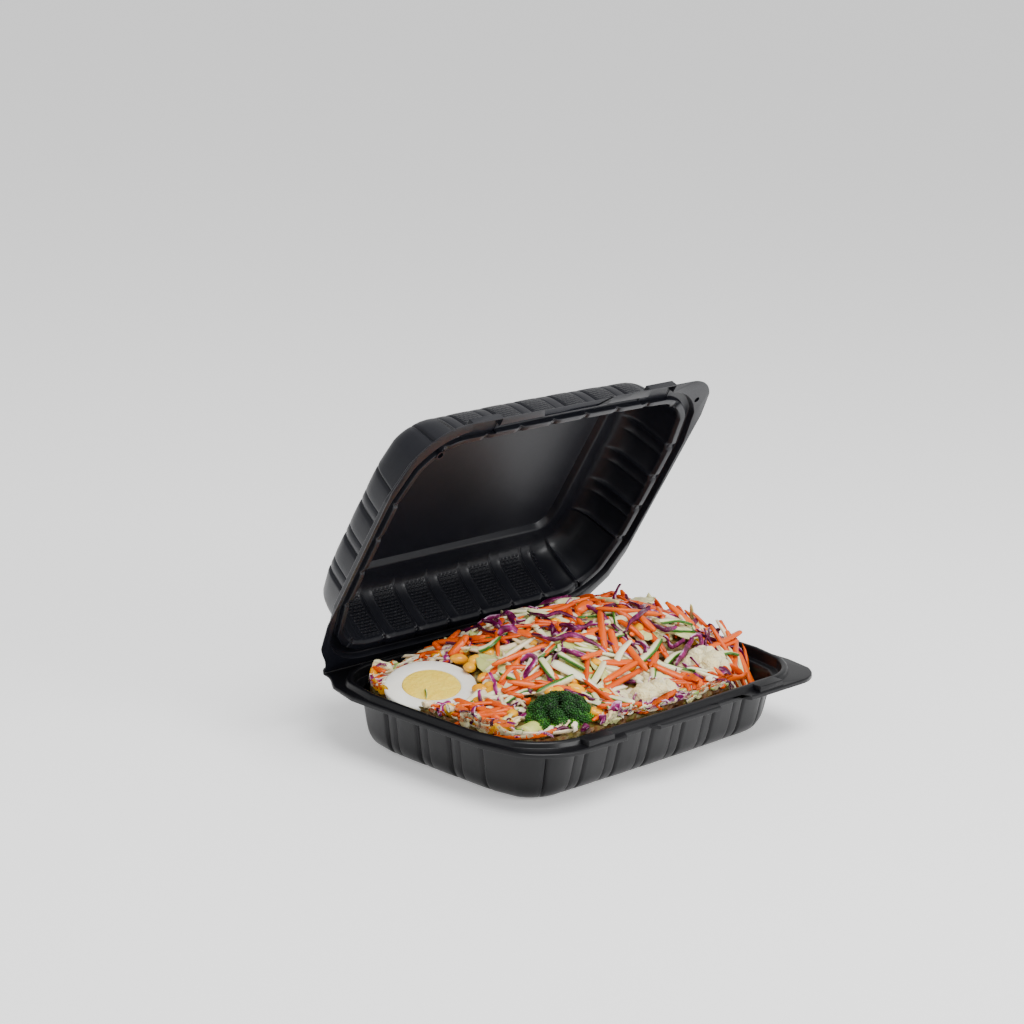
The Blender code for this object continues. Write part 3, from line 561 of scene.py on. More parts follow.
def inside(p, extra=0.0):
    """Moves a point clear of the walls of the tray and of the shut lid."""
    x, y, z = p
    z = min(max(z, FOOD_LOW), FOOD_HIGH)
    m = CLEAR + extra + (DRAFT * (30.0 - z) if z < 30 else 0.0)
    if z < 13:
        m += (13 - z) * .45
    if z > BEAD_Z:
        m += (z - BEAD_Z) * .2
    hx, hy, r = XW - m, YW - m, R0 - m
    a, b = hx - r, hy - r
    if abs(x) > a and abs(y) > b:
        dx, dy = abs(x) - a, abs(y) - b
        d = math.hypot(dx, dy)
        if d > r:
            x, y = math.copysign(a + dx * r / d, x), math.copysign(b + dy * r / d, y)
    else:
        x, y = max(-hx, min(hx, x)), max(-hy, min(hy, y))
    return x, y, z


def seen_at(px, py, lift=0.0):
    """Where the sight line through a point of the picture meets the heap, raised by lift."""
    d = (-BACK * FOCAL_PX + RIGHT * (px - MIDDLE) - UP * (py - MIDDLE)).normalized()
    near, best = 1e9, None
    t = (92 - EYE.z) / d.z
    for i in range(420):
        p = EYE + d * (t + i * .8)
        if abs(p.x) > 108 or abs(p.y) > 72:
            continue
        gap = p.z - heap_top(p.x, p.y, .4) - lift
        if gap <= 0:
            return p
        if gap < near:
            near, best = gap, p.copy()
    return best or Vector(inside(p))


class Bag:
    """Many pieces of one kind gathered in one mesh, with a tone for each and a mask for its rind."""

    def __init__(self):
        self.verts, self.faces, self.tone, self.rind, self.run = [], [], [], [], []

    def add(self, verts, faces, tone, rind=None, run=None):
        o = len(self.verts)
        self.verts += [tuple(v) for v in verts]
        self.faces += [tuple(o + i for i in f) for f in faces]
        self.tone += [tone] * len(verts)
        self.rind += list(rind) if rind is not None else [0.0] * len(verts)
        self.run += list(run) if run is not None else [0.0] * len(verts)

    def piece(self, name, finish):
        ob = mesh_object(name, self.verts, self.faces)
        me = ob.data
        for key, values in (("tone", self.tone), ("rind", self.rind), ("run", self.run)):
            me.attributes.new(key, "FLOAT", "POINT").data.foreach_set("value", np.array(values, np.float32))
        me.shade_smooth()
        me.materials.append(finish.data)
        face_outward(me)
        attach(ob, "base")
        return ob


def curve_point(pts, f):
    """The point at fraction f of a smooth curve through pts."""
    s = f * (len(pts) - 1)
    i = min(int(s), len(pts) - 2)
    h = s - i
    a, b, c, d = pts[max(i - 1, 0)], pts[i], pts[i + 1], pts[min(i + 2, len(pts) - 1)]
    return .5 * (2 * b + (c - a) * h + (2 * a - 5 * b + 4 * c - d) * h * h + (3 * b - a - 3 * c + d) * h ** 3)


def stick(bag, pts, width, thick, tone, twist=0.0, turn=0.0, taper=.7, seg=9, corners=8, wave=0.0, waves=3.0,
          round_=.55, seed=0.0, skin=0.0):
    """A cut strip: a rounded section along a path, with closed ends."""
    pts = [Vector(p) for p in pts]
    v, rind, run = [], [], []
    length = sum((b - a).length for a, b in zip(pts, pts[1:]))
    up0 = None
    for i in range(seg + 1):
        s = i / seg
        p = curve_point(pts, s)
        q = curve_point(pts, min(1, s + .02)) - curve_point(pts, max(0, s - .02))
        q.normalize()
        side = q.cross(Vector((0, 0, 1)) if up0 is None else up0)
        if side.length < .1:
            side = q.cross(Vector((1, .3, 0)))
        side.normalize()
        upper = side.cross(q)
        up0 = upper if up0 is None else (up0 * .5 + upper * .5).normalized()
        a = turn + twist * s
        n1, n2 = side * math.cos(a) + upper * math.sin(a), upper * math.cos(a) - side * math.sin(a)
        end = min(1.0, min(s, 1 - s) * seg / 1.2 + .35)
        w = width / 2 * (1 - (1 - taper) * (2 * abs(s - .5)) ** 2) * (.55 + .45 * end)
        h = thick / 2 * end * (1 - .4 * (1 - taper) * (2 * abs(s - .5)) ** 2)
        p = p + n2 * wave * math.sin(s * waves * 2 * math.pi + seed)
        p = p + n1 * wave * .5 * math.cos(s * waves * 3.3 + seed)
        w *= 1 + .12 * noise(Vector((s * 4, seed, 2)))
        for j in range(corners):
            b = 2 * math.pi * (j + .5) / corners
            cx, cy = math.cos(b), math.sin(b)
            m = max(abs(cx), abs(cy))
            k = round_ + (1 - round_) / m
            v.append(inside(p + n1 * cx * w * k + n2 * cy * h * k))
            rind.append(max(0.0, cx) * skin if skin >= 0 else abs(cx) ** 3 * -skin)
            run.append(s * length)
    f = tube_faces(seg + 1, corners)
    f += [tuple(range(corners))[::-1], tuple(range(seg * corners, (seg + 1) * corners))]
    bag.add(v, f, tone, rind, run)


def kernel(bag, centre, size, turn, tone, seed):
    """A sweetcorn grain: a plump wedge, its tip narrower."""
    rows, seg = 7, 10
    v, f, rind = [(0, 0, 1)], [], [0.0]
    for i in range(1, rows):
        a = math.pi * i / rows
        for j in range(seg):
            b = 2 * math.pi * j / seg
            v.append((math.sin(a) * math.cos(b), math.sin(a) * math.sin(b), math.cos(a)))
            rind.append(0.0)
    v.append((0, 0, -1))
    rind.append(0.0)
    q = Matrix.Rotation(turn[0], 3, "Z") @ Matrix.Rotation(turn[1], 3, "Y") @ Matrix.Rotation(turn[2], 3, "X")
    out = []
    for k, (x, y, z) in enumerate(v):
        s = 1 + .06 * noise(Vector((x + seed, y, z)))
        narrow = 1 - .45 * max(0, -x) - .04 * x
        bx = math.copysign(abs(x) ** .82, x)
        rind[k] = max(0.0, -x - .35) * 1.5
        p = Vector((bx * size * 1.26, y * size * .88 * narrow * s, z * size * .62 * narrow * s))
        out.append(inside(Vector(centre) + q @ p))
    for j in range(seg):
        k = (j + 1) % seg
        f.append((0, 1 + j, 1 + k))
        f.append((len(v) - 1, len(v) - 1 - seg + k, len(v) - 1 - seg + j))
    for i in range(rows - 2):
        for j in range(seg):
            k = (j + 1) % seg
            a, b, c, d = 1 + i * seg + j, 1 + i * seg + k, 1 + (i + 1) * seg + k, 1 + (i + 1) * seg + j
            f.append((a, d, c, b))
    bag.add(out, f, tone, rind)


def leaf(bag, centre, along, across, tone, ruffle=1.6, thick=.7, cup=.12, seed=0.0, nu=16, nv=10):
    """A thin wavy leaf between two half axes, its outline ragged, both faces split alike."""
    c, a, b = Vector(centre), Vector(along), Vector(across)
    n = a.cross(b).normalized()
    if n.z < 0:
        n = -n
    top, run = [], []
    for i in range(nu + 1):
        for j in range(nv + 1):
            u, w = 2 * i / nu - 1, 2 * j / nv - 1
            edge = math.sqrt(max(0, 1 - .92 * u * u)) * (1 + .14 * noise(Vector((u * 2.2, seed, 0))))
            x, y = u * (1 + .07 * noise(Vector((w * 3, seed, 5)))), w * edge
            rim = max(abs(u), abs(w)) ** 2
            h = -cup * a.length * (x * x) - cup * 1.2 * b.length * y * y
            h += ruffle * rim * noise(Vector((x * 2.6 + seed, y * 2.6, 1.0)))
            h += .5 * ruffle * noise(Vector((x * 1.3, y * 1.3, seed)))
            top.append(c + a * x + b * y + n * h)
            run.append(w)
    v = [inside(p + n * thick / 2) for p in top] + [inside(p - n * thick / 2) for p in top]
    k, m = nv + 1, len(top)
    f = []
    for i in range(nu):
        for j in range(nv):
            q = (i * k + j, (i + 1) * k + j, (i + 1) * k + j + 1, i * k + j + 1)
            f += [(q[0], q[1], q[2]), (q[0], q[2], q[3])]
            f += [(m + q[2], m + q[1], m + q[0]), (m + q[3], m + q[2], m + q[0])]
    rim = list(range(k)) + [i * k + nv for i in range(1, nu + 1)] \
        + [nu * k + j for j in range(nv - 1, -1, -1)] + [i * k for i in range(nu - 1, 0, -1)]
    for i, j in zip(rim, rim[1:] + rim[:1]):
        f.append((i, m + i, m + j, j))
    bag.add(v, f, tone, [0.0] * len(v), run + run)


# finishes of the food
def food(name, rough, sss, radius=(1, .5, .25), scale=.0015):
    m = Finish(name, IOR=1.40, Specular_IOR_Level=.5)
    m.shader.inputs["Roughness"].default_value = rough
    m.shader.inputs["Subsurface Weight"].default_value = sss
    m.shader.inputs["Subsurface Radius"].default_value = radius
    m.shader.inputs["Subsurface Scale"].default_value = scale
    return m


carrot = food("carrot", .26, .12, (1, .35, .1), .001)
tone = carrot.attribute("tone")
fibre = carrot.noise(900, 2, .6, stretch=(1, 1, .35))
carrot.feed("Base Color", carrot.mix((tone * .75 + fibre * .35), srgb(190, 58, 0), srgb(238, 100, 0)))
carrot.bump(fibre, .0004, .5)

cabbage = food("red_cabbage", .22, .1, (.8, .3, .8))
tone, rind = cabbage.attribute("tone"), cabbage.attribute("rind")
blot = cabbage.noise(160, 3, .6)
flesh = cabbage.mix((tone * .5 + blot * 1.1 - .42).step(.25, .62), srgb(78, 4, 50), srgb(150, 28, 108))
pale = (blot * .8 + tone * .3 + rind * .55 - .35).step(.52, .70)
cabbage.feed("Base Color", cabbage.mix(pale, flesh, srgb(228, 186, 216)))
cabbage.bump(blot, .0005, .5)

cucumber = food("cucumber", .20, .3, (.8, 1, .4))
tone, rind = cucumber.attribute("tone"), cucumber.attribute("rind")
blot = cucumber.noise(420, 3, .6)
flesh = cucumber.mix(tone + blot * .3, srgb(206, 205, 142), srgb(236, 232, 196))
skin = cucumber.mix(blot, srgb(22, 62, 14), srgb(66, 122, 38))
edge = cucumber.mix((rind + blot * .2).step(.45, .62), flesh, srgb(150, 176, 84))
cucumber.feed("Base Color", cucumber.mix((rind + blot * .25).step(.66, .80), edge, skin))
cucumber.bump(blot, .0005, .5)

onion = food("pale_shreds", .24, .35, (1, .8, .5))
tone = onion.attribute("tone")
blot = onion.noise(300, 3, .55)
onion.feed("Base Color", onion.mix(tone * .8 + blot * .5 - .15, srgb(224, 196, 140), srgb(248, 238, 212)))
onion.bump(blot, .0006, .5)

corn = food("sweetcorn", .14, .2, (1, .7, .15), .001)
tone, rind = corn.attribute("tone"), corn.attribute("rind")
blot = corn.noise(240, 2, .5)
body = corn.mix(tone * .8 + blot * .3, srgb(226, 142, 0), srgb(248, 180, 0))
corn.feed("Base Color", corn.mix(rind * .55, body, srgb(246, 200, 70)))
corn.bump(blot, .0006, .4)

lettuce = food("pale_leaf", .26, .3, (.8, 1, .4))
tone, run = lettuce.attribute("tone"), lettuce.attribute("run")
blot = lettuce.noise(120, 3, .6)
vein = 1 - ((run * 5.0 + blot * 1.6).sin().abs() * 3.4).least(1.0)
body = lettuce.mix(tone + blot * .5 - .2, srgb(176, 190, 84), srgb(246, 236, 190))
lettuce.feed("Base Color", lettuce.mix(vein * .35, body, srgb(164, 156, 84)))
lettuce.bump(vein * -.4 + blot, .0009, .5)

# the heap's under layer is coloured dark brown and olive: painted shade that stands for the depth between the loose
# pieces
shade_core_finish = food("painted_shade_under_layer", .38, .1)
place = shade_core_finish.place()
blot = shade_core_finish.noise(130, 4, .65, place)
shade_core_finish.feed("Base Color", shade_core_finish.mix(.5, shade_core_finish.ramp(
    blot, (.30, srgb(44, 16, 30)), (.43, srgb(112, 50, 14)), (.53, srgb(120, 108, 48)), (.66, srgb(52, 62, 22))),
    shade_core_finish.mix((blot - .2), srgb(84, 50, 16), srgb(132, 126, 70))))
shade_core_finish.bump(shade_core_finish.cells(220, place) + blot, .003, .8)

white = food("egg_white", .30, .35, (1, .95, .85), .003)
blot = white.noise(140, 3, .55)
fine = white.noise(900, 2, .5)
white.feed("Base Color", white.mix(blot, srgb(250, 248, 240), srgb(240, 236, 224)))
white.bump(blot * 1.5 + fine * .3, .0005, .4)

yolk = food("egg_yolk", .48, .25, (1, .8, .3), .002)
blot = yolk.noise(110, 4, .6)
fine = yolk.noise(900, 3, .6)
pit = yolk.cells(420)
yolk.feed("Base Color", yolk.mix((blot * 1.2 - .1) + (fine - .5) * .5, srgb(255, 226, 92), srgb(246, 202, 58)))
yolk.bump(fine + pit * .6 + blot, .0011, .7)

bud = food("broccoli_buds", .45, .1, (.5, 1, .3))
tone = bud.attribute("tone")
bud.feed("Base Color", bud.ramp(tone, (0.0, srgb(6, 28, 4)), (.4, srgb(18, 64, 12)), (.7, srgb(40, 104, 22)),
                                (1.0, srgb(112, 168, 44))))
stalk = food("broccoli_stalk", .32, .3, (.7, 1, .3))
blot = stalk.noise(260, 4, .6)
stalk.feed("Base Color", stalk.mix(blot, srgb(168, 182, 66), srgb(232, 226, 140)))
stalk.bump(blot, .0014, .7)

curd = food("cream_curds", .42, .35, (1, .9, .6), .003)
tone = curd.attribute("tone")
blot = curd.noise(260, 4, .65)
curd.feed("Base Color", curd.mix(blot * .9 + tone * .3 - .1, srgb(222, 202, 132), srgb(252, 242, 204)))
curd.bump(blot + curd.cells(900) * .5, .0016, .7)


# the heap's core, one closed solid
def plan(a, m):
    """The point of the outline, drawn in by m, that lies in direction a."""
    hx, hy, r = XW - m, YW - m, max(R0 - m, 6.0)
    lo, hi = 0.0, 2.0
    for _ in range(24):
        s = (lo + hi) / 2
        x, y = abs(math.cos(a) * hx * s) - (hx - r), abs(math.sin(a) * hy * s) - (hy - r)
        out = math.hypot(max(x, 0), max(y, 0)) > r or max(x, y) > r
        lo, hi = (lo, s) if out else (s, hi)
    return math.cos(a) * hx * lo, math.sin(a) * hy * lo


core = Bag()
seg, rows = 168, 46
v = []
for z, m in ((FOOD_LOW, 13.2), (8.6, 8.2), (14, 6.6), (20.0, 5.4), (26.0, 4.4), (31.0, 3.9)):
    for i in range(seg):
        x, y = plan(2 * math.pi * i / seg, m)
        v.append(inside((x, y, min(z, heap_top(x, y) - 1.2)), .5))
for i in range(rows):
    s = 1 - (i / rows) ** 1.1
    for j in range(seg):
        x, y = plan(2 * math.pi * j / seg, 3.9)
        x, y = x * s, y * s
        z = heap_top(x, y) - 1.0 + 1.2 * noise(Vector((x / 3.2, y / 3.2, 9)))
        z -= 5.0 * math.exp(-((x + 80) ** 2 + (y + 2) ** 2) / 120)
        v.append(inside((x, y, z), .4))
n = 6 + rows
v += [(0, 0, heap_top(0, 0) - 1), (0, 0, FOOD_LOW)]
f = tube_faces(n, seg)
for j in range(seg):
    k = (j + 1) % seg
    f += [((n - 1) * seg + j, (n - 1) * seg + k, len(v) - 2), (j, len(v) - 1, k)]
core.add(v, f, .5)

# what the loose pieces keep clear of: x, y, half sizes
EGG = Vector((-80.6, 25.0, 38.6))
KEEP = [(-80.6, 25.0, 26, 26), (-59, -45, 21, 17), (-81, -48, 12, 8), (58, -45, 15, 12), (4, -55, 21, 9)]


def free(x, y, margin=0.0):
    return all(((x - a) / (rx + margin)) ** 2 + ((y - b) / (ry + margin)) ** 2 > 1 for a, b, rx, ry in KEEP)


def lying(x, y, length, angle, lift, stiff=.7, tilt=0.0, n=5):
    """A path over the heap: stiff pieces bridge its hollows, limp ones follow it."""
    c, s = math.cos(angle), math.sin(angle)
    pts = [(x + c * length * (i / (n - 1) - .5), y + s * length * (i / (n - 1) - .5)) for i in range(n)]
    z = [heap_top(*p) for p in pts]
    line = [z[0] + (z[-1] - z[0]) * i / (n - 1) for i in range(n)]
    need = max(0.0, max(a - b for a, b in zip(z, line)))
    out = []
    for i, p in enumerate(pts):
        h = stiff * (line[i] + need * .8) + (1 - stiff) * z[i]
        out.append(Vector((p[0], p[1], h + lift + tilt * length * (i / (n - 1) - .5))))
    return out


bags = {k: Bag() for k in ("carrot", "cabbage", "cucumber", "onion", "corn", "leaf")}


def scatter(make, count, margin, region, seed):
    """Places count pieces by chance in a region, clear of the big pieces by the margin."""
    r = random.Random(seed)
    done = tries = 0
    while done < count and tries < count * 40:
        tries += 1
        x, y = r.uniform(region[0], region[1]), r.uniform(region[2], region[3])
        ix, iy, _ = inside((x, y, 34), 2 if margin > 0 else .1)
        if math.hypot(ix - x, iy - y) > .5 or not free(x, y, margin) or heap_top(x, y) < 12:
            continue
        make(r, x, y)
        done += 1


def clear_line(pts):
    return all(free(p[0], p[1], .5) for p in pts)


def one_onion(r, x, y):
    pts = lying(x, y, r.uniform(18, 36), r.uniform(0, 6.3), r.uniform(-.4, 2.6), .6, r.uniform(-.12, .12))
    if clear_line(pts):
        stick(bags["onion"], pts, r.uniform(2.4, 5.0), r.uniform(1.4, 2.4), r.random(), r.uniform(-1, 1),
              r.uniform(-.6, .6), .6, 8, 8, .5, 1.0, .6, r.random() * 9)


def one_carrot(r, x, y):
    pts = lying(x, y, r.uniform(16, 38), r.uniform(0, 6.3), r.uniform(.2, 4.6), .9, r.uniform(-.2, .2))
    if clear_line(pts):
        stick(bags["carrot"], pts, r.uniform(2.6, 4.6), r.uniform(1.8, 3.0), r.random(), r.uniform(-.5, .5),
              r.uniform(-.8, .8), r.uniform(.45, .95), 8, 8, .3, .7, .5, r.random() * 9)


def one_cucumber(r, x, y):
    pts = lying(x, y, r.uniform(18, 34), r.uniform(0, 6.3), r.uniform(.2, 4.2), .75, r.uniform(-.15, .15))
    if clear_line(pts):
        stick(bags["cucumber"], pts, r.uniform(3.2, 5.6), r.uniform(1.6, 2.6), r.random(), r.uniform(-1.4, 1.4),
              r.uniform(-1.2, 1.2), .7, 9, 8, .5, .8, .5, r.random() * 9, 1.0 if r.random() < .6 else 0.0)


def one_cabbage(r, x, y):
    pts = lying(x, y, r.uniform(16, 38), r.uniform(0, 6.3), r.uniform(1.0, 5.2), .35, r.uniform(-.15, .15))
    if clear_line(pts):
        stick(bags["cabbage"], pts, r.uniform(1.8, 4.2), r.uniform(.8, 1.3), r.random(), r.uniform(-4, 4),
              r.uniform(-1.5, 1.5), .6, 22, 6, r.uniform(.8, 2.0), r.uniform(1, 2.6), .7, r.random() * 9, -1.0)


def one_corn(r, x, y):
    kernel(bags["corn"], (x, y, heap_top(x, y) + r.uniform(.6, 2.6)), r.uniform(3.5, 4.3),
           (r.uniform(0, 6.3), r.uniform(-.7, .7), r.uniform(-.6, .6)), r.random(), r.random() * 9)


def one_leaf(r, x, y):
    a = r.uniform(0, 6.3)
    h = heap_top(x, y)
    sx = (heap_top(x + 4, y) - heap_top(x - 4, y)) / 8
    sy = (heap_top(x, y + 4) - heap_top(x, y - 4)) / 8
    la, lb = r.uniform(9, 15), r.uniform(5.5, 9)
    u = Vector((math.cos(a), math.sin(a), sx * math.cos(a) + sy * math.sin(a))) * la
    w = Vector((-math.sin(a), math.cos(a), -sx * math.sin(a) + sy * math.cos(a) + r.uniform(-.3, .3))) * lb
    leaf(bags["leaf"], (x, y, h + r.uniform(.5, 2.0)), u, w, r.random(), r.uniform(1.2, 3.0), .6, .1,
         r.random() * 9)


def one_bit(r, x, y):
    kind = r.choice(("onion", "onion", "cabbage", "carrot", "cucumber", "cabbage"))
    pts = lying(x, y, r.uniform(7, 15), r.uniform(-.7, .7), r.uniform(.2, 2.0), .4, r.uniform(-.1, .1))
    stick(bags[kind], pts, r.uniform(2.6, 4.4), r.uniform(1.3, 2.2), r.random(), r.uniform(-1.5, 1.5),
          r.uniform(-1, 1), .6, 9, 8, .7, 1.3, .6, r.random() * 9, -1.0 if kind == "cabbage" else .6)


everywhere, front = (-98, 98, -62, 62), (-40, 100, -66, -46)
left, behind_egg = (-104, -84, -50, 62), (-100, -36, 38, 62)
for make, count, margin, region, seed in (
    (one_leaf, 44, 10, everywhere, 3), (one_onion, 150, 6, everywhere, 4), (one_carrot, 120, 7, everywhere, 5),
    (one_cucumber, 52, 7, everywhere, 6), (one_corn, 30, 3, everywhere, 7), (one_onion, 90, 1, front, 21),
    (one_carrot, 70, 1, front, 22), (one_cucumber, 26, 1, front, 23), (one_cabbage, 30, 1, front, 24),
    (one_leaf, 12, 3, front, 25), (one_bit, 150, -6, (-36, 84, -66, -54), 71),
    (one_bit, 40, -4, (-102, -60, -66, -12), 72), (one_bit, 110, -2, (-102, -36, 34, 64), 73),
    (one_onion, 24, 1, behind_egg, 74), (one_carrot, 18, 1, behind_egg, 75),
    (one_bit, 60, -1, (-20, 90, -66, -61), 76), (one_bit, 30, -1, (-104, -92, -30, 30), 77),
):
    scatter(make, count, margin, region, seed)
# one stiff shred that stands up at the back
stick(bags["cabbage"], [(48, 19, 54), (55, 22, 58), (64, 26, 62.5), (72, 30, 64.8)], 2.6, 1.6, .3, .8, .4, .6, 20, 6,
      .4, 1, .7, 3, -1.0)
corner, gap, right_end = (-100, -84, -62, -30), (-98, -38, -34, 6), (78, 104, -50, 62)
for area, many, seed in ((corner, .5, 41), (gap, 1.3, 51), (right_end, 1.4, 61)):
    for k, (make, count) in enumerate(((one_onion, 22), (one_carrot, 14), (one_cabbage, 6), (one_cucumber, 6))):
        scatter(make, int(count * many), 0, area, seed + k)
for make, count in ((one_onion, 26), (one_carrot, 24), (one_corn, 10)):
    scatter(make, count, 0, left, 31)
scatter(one_cabbage, 58, 6, (-40, 98, -30, 62), 8)
scatter(one_cabbage, 14, 6, everywhere, 9)


# the pieces that stand out in the picture, each by points of it and how far they rise off the heap
def shown(*points):
    return [seen_at(*p) for p in points]


for pts, w, h, tone in (
    ([(467, 635, 8), (459, 646, 6), (450, 656, 4)], 4.6, 3.0, .55), ([(434, 643, 8), (440, 649, 5)], 4.4, 2.8, .4),
    ([(455, 699, 3), (478, 709, 4), (500, 719, 4)], 5.0, 3.4, .8),
    ([(590, 601, 8), (584, 606, 6), (577, 612, 4)], 6.5, 3.2, .6),
    ([(594, 608, 6), (626, 611, 7), (660, 615, 6)], 4.2, 3.0, .7),
    ([(600, 611, 6), (602, 630, 6), (605, 649, 4)], 4.4, 3.0, .5),
    ([(610, 629, 6), (614, 642, 5), (617, 654, 4)], 4.6, 3.0, .6),
    ([(640, 616, 8), (648, 624, 7), (655, 631, 5)], 5.2, 3.2, .5),
    ([(602, 682, 3), (620, 672, 5), (640, 661, 5)], 5.6, 3.2, .7),
    ([(604, 690, 3), (622, 680, 4), (644, 668, 4)], 4.6, 3.0, .35),
    ([(707, 648, 6), (726, 640, 8), (743, 631, 9)], 6.5, 2.8, .75),
    ([(709, 652, 4), (722, 646, 6), (738, 641, 7)], 5.0, 2.6, .5),
    ([(680, 676, 5), (692, 669, 6), (706, 663, 7)], 4.2, 2.8, .7), ([(684, 672, 5), (700, 672, 6)], 3.6, 2.4, .6),
    ([(520, 690, 3), (540, 686, 4), (556, 683, 3)], 4.6, 3.0, .5),
    ([(486, 700, 3), (500, 706, 4), (515, 710, 3)], 4.6, 3.0, .3),
    ([(552, 638, 5), (572, 640, 5), (590, 640, 3)], 4.0, 2.6, .4),
    ([(535, 612, 4), (550, 608, 5), (566, 606, 4)], 4.6, 2.8, .6),
    ([(618, 620, 5), (632, 628, 6), (644, 640, 4)], 4.4, 2.8, .5),
    ([(655, 640, 5), (664, 652, 5), (670, 662, 3)], 4.6, 2.8, .45), ([(655, 652, 5), (652, 668, 5)], 5.0, 2.8, .3),
    ([(532, 636, 4), (520, 632, 5), (508, 634, 4)], 4.8, 2.6, .55), ([(365, 680, 3), (378, 690, 2)], 4.0, 2.6, .6),
    ([(660, 707, 3), (672, 700, 5), (676, 692, 5)], 6.0, 3.0, .5),
    ([(728, 664, 6), (736, 672, 5), (742, 682, 3)], 7.0, 3.0, .55),
    ([(720, 684, 3), (735, 680, 4), (746, 674, 3)], 5.0, 2.6, .65),
    ([(500, 688, 3), (512, 694, 4), (524, 697, 3)], 4.6, 2.8, .5), ([(470, 703, 3), (492, 716, 3)], 4.0, 2.6, .6),
):
    stick(bags["carrot"], shown(*pts), w, h, tone, .3, .2, .75, 9, 8, .2, .6, .5, tone * 7)

for pts, w, h, tone in (
    ([(508, 612, 10), (512, 624, 6), (510, 640, 3)], 3.6, 1.4, .2),
    ([(482, 619, 9), (494, 624, 7), (504, 630, 5)], 3.0, 1.2, .3),
    ([(498, 634, 6), (510, 628, 8), (522, 632, 5)], 4.6, 1.6, .4),
    ([(528, 611, 6), (545, 616, 8), (560, 613, 7), (588, 620, 4)], 2.6, 1.2, .3),
    ([(532, 634, 6), (552, 640, 8), (570, 634, 7), (590, 640, 6), (606, 654, 4)], 3.0, 1.3, .5),
    ([(561, 650, 5), (575, 652, 6), (588, 659, 5)], 3.4, 1.3, .6),
    ([(623, 632, 6), (636, 618, 9), (649, 606, 9)], 3.0, 1.4, .3),
    ([(521, 662, 4), (530, 656, 7), (536, 660, 6), (526, 674, 5), (530, 694, 3)], 3.4, 1.3, .5),
    ([(540, 662, 4), (548, 672, 5), (551, 686, 4)], 3.0, 1.2, .5),
    ([(610, 712, 3), (618, 706, 6), (628, 716, 3)], 6.0, 1.8, .7),
    ([(640, 686, 4), (634, 700, 5), (626, 717, 3)], 3.2, 1.3, .5),
    ([(673, 674, 4), (682, 656, 8), (692, 638, 10)], 3.4, 1.5, .35),
    ([(690, 640, 9), (698, 634, 10), (702, 642, 8), (694, 648, 7)], 2.6, 1.2, .6),
    ([(710, 627, 9), (707, 638, 8), (704, 648, 6)], 2.0, 1.2, .3),
    ([(476, 712, 3), (466, 718, 5), (462, 727, 3)], 2.4, 1.1, .4),
    ([(484, 716, 3), (474, 722, 4), (470, 732, 3)], 2.2, 1.1, .3),
    ([(560, 624, 7), (575, 628, 8), (592, 622, 7)], 3.0, 1.2, .4),
    ([(650, 622, 7), (664, 630, 8), (676, 626, 7)], 3.0, 1.3, .3),
    ([(664, 636, 6), (672, 646, 7), (684, 640, 6)], 2.8, 1.2, .5),
    ([(628, 600, 6), (640, 608, 7), (650, 602, 7)], 3.0, 1.3, .3), ([(600, 716, 3), (610, 724, 3)], 4.6, 1.6, .8),
    ([(636, 640, 6), (646, 650, 6), (640, 660, 4)], 2.6, 1.2, .4),
):
    stick(bags["cabbage"], shown(*pts), w, h, tone, 2.2, .9, .7, 26, 6, .7, 2.0, .7, tone * 11, -1.0)

for pts, w, h, tone, skin in (
    ([(540, 659, 5), (548, 670, 6), (557, 682, 4)], 4.6, 2.2, .4, 1),
    ([(558, 654, 6), (572, 661, 6), (588, 671, 4)], 4.6, 2.0, .3, 1),
    ([(604, 662, 6), (597, 674, 6), (590, 686, 3)], 4.6, 2.2, .4, 1),
    ([(593, 694, 4), (597, 701, 4), (601, 709, 3)], 4.0, 2.2, .3, 1),
    ([(552, 662, 5), (572, 672, 6), (592, 684, 4), (597, 696, 3)], 7.5, 1.8, .8, 0),
    ([(500, 672, 4), (520, 680, 4), (536, 684, 3)], 5.0, 2.0, .5, 1),
    ([(478, 650, 6), (490, 645, 6), (500, 638, 5)], 5.0, 2.0, .7, 1),
    ([(640, 662, 6), (652, 650, 7), (660, 640, 6)], 5.0, 2.0, .6, 1),
    ([(505, 703, 3), (520, 692, 4), (538, 688, 3)], 3.4, 1.8, .5, 1),
    ([(666, 664, 5), (676, 654, 6), (690, 652, 5)], 4.0, 2.0, .6, 1),
    ([(582, 632, 6), (596, 640, 6)], 5.5, 1.8, .7, 0),
    ([(660, 622, 7), (676, 620, 7), (692, 626, 6)], 5.0, 1.8, .6, 1),
    ([(715, 655, 6), (728, 652, 7), (738, 656, 5)], 5.0, 2.0, .5, 1),
    ([(630, 640, 6), (622, 650, 6), (616, 664, 4)], 4.0, 2.0, .8, 0),
):
    stick(bags["cucumber"], shown(*pts), w, h, tone, .9, -.5, .75, 12, 8, .4, .8, .5, tone * 5, float(skin))

shown_corn = ((485, 678), (481, 689), (470, 667), (459, 659), (488, 651), (476, 660), (373, 692), (512, 714),
              (502, 729), (548, 690), (556, 693), (601, 693), (437, 655), (462, 650), (368, 686), (606, 700),
              (494, 690), (638, 628), (596, 712))
for i, (px, py) in enumerate(shown_corn):
    p = seen_at(px, py, 2.4)
    kernel(bags["corn"], p, 4.2, (i * 1.9, .3 * math.sin(i * 3.0), .4 * math.cos(i * 2.0)), (i * .37) % 1, i)

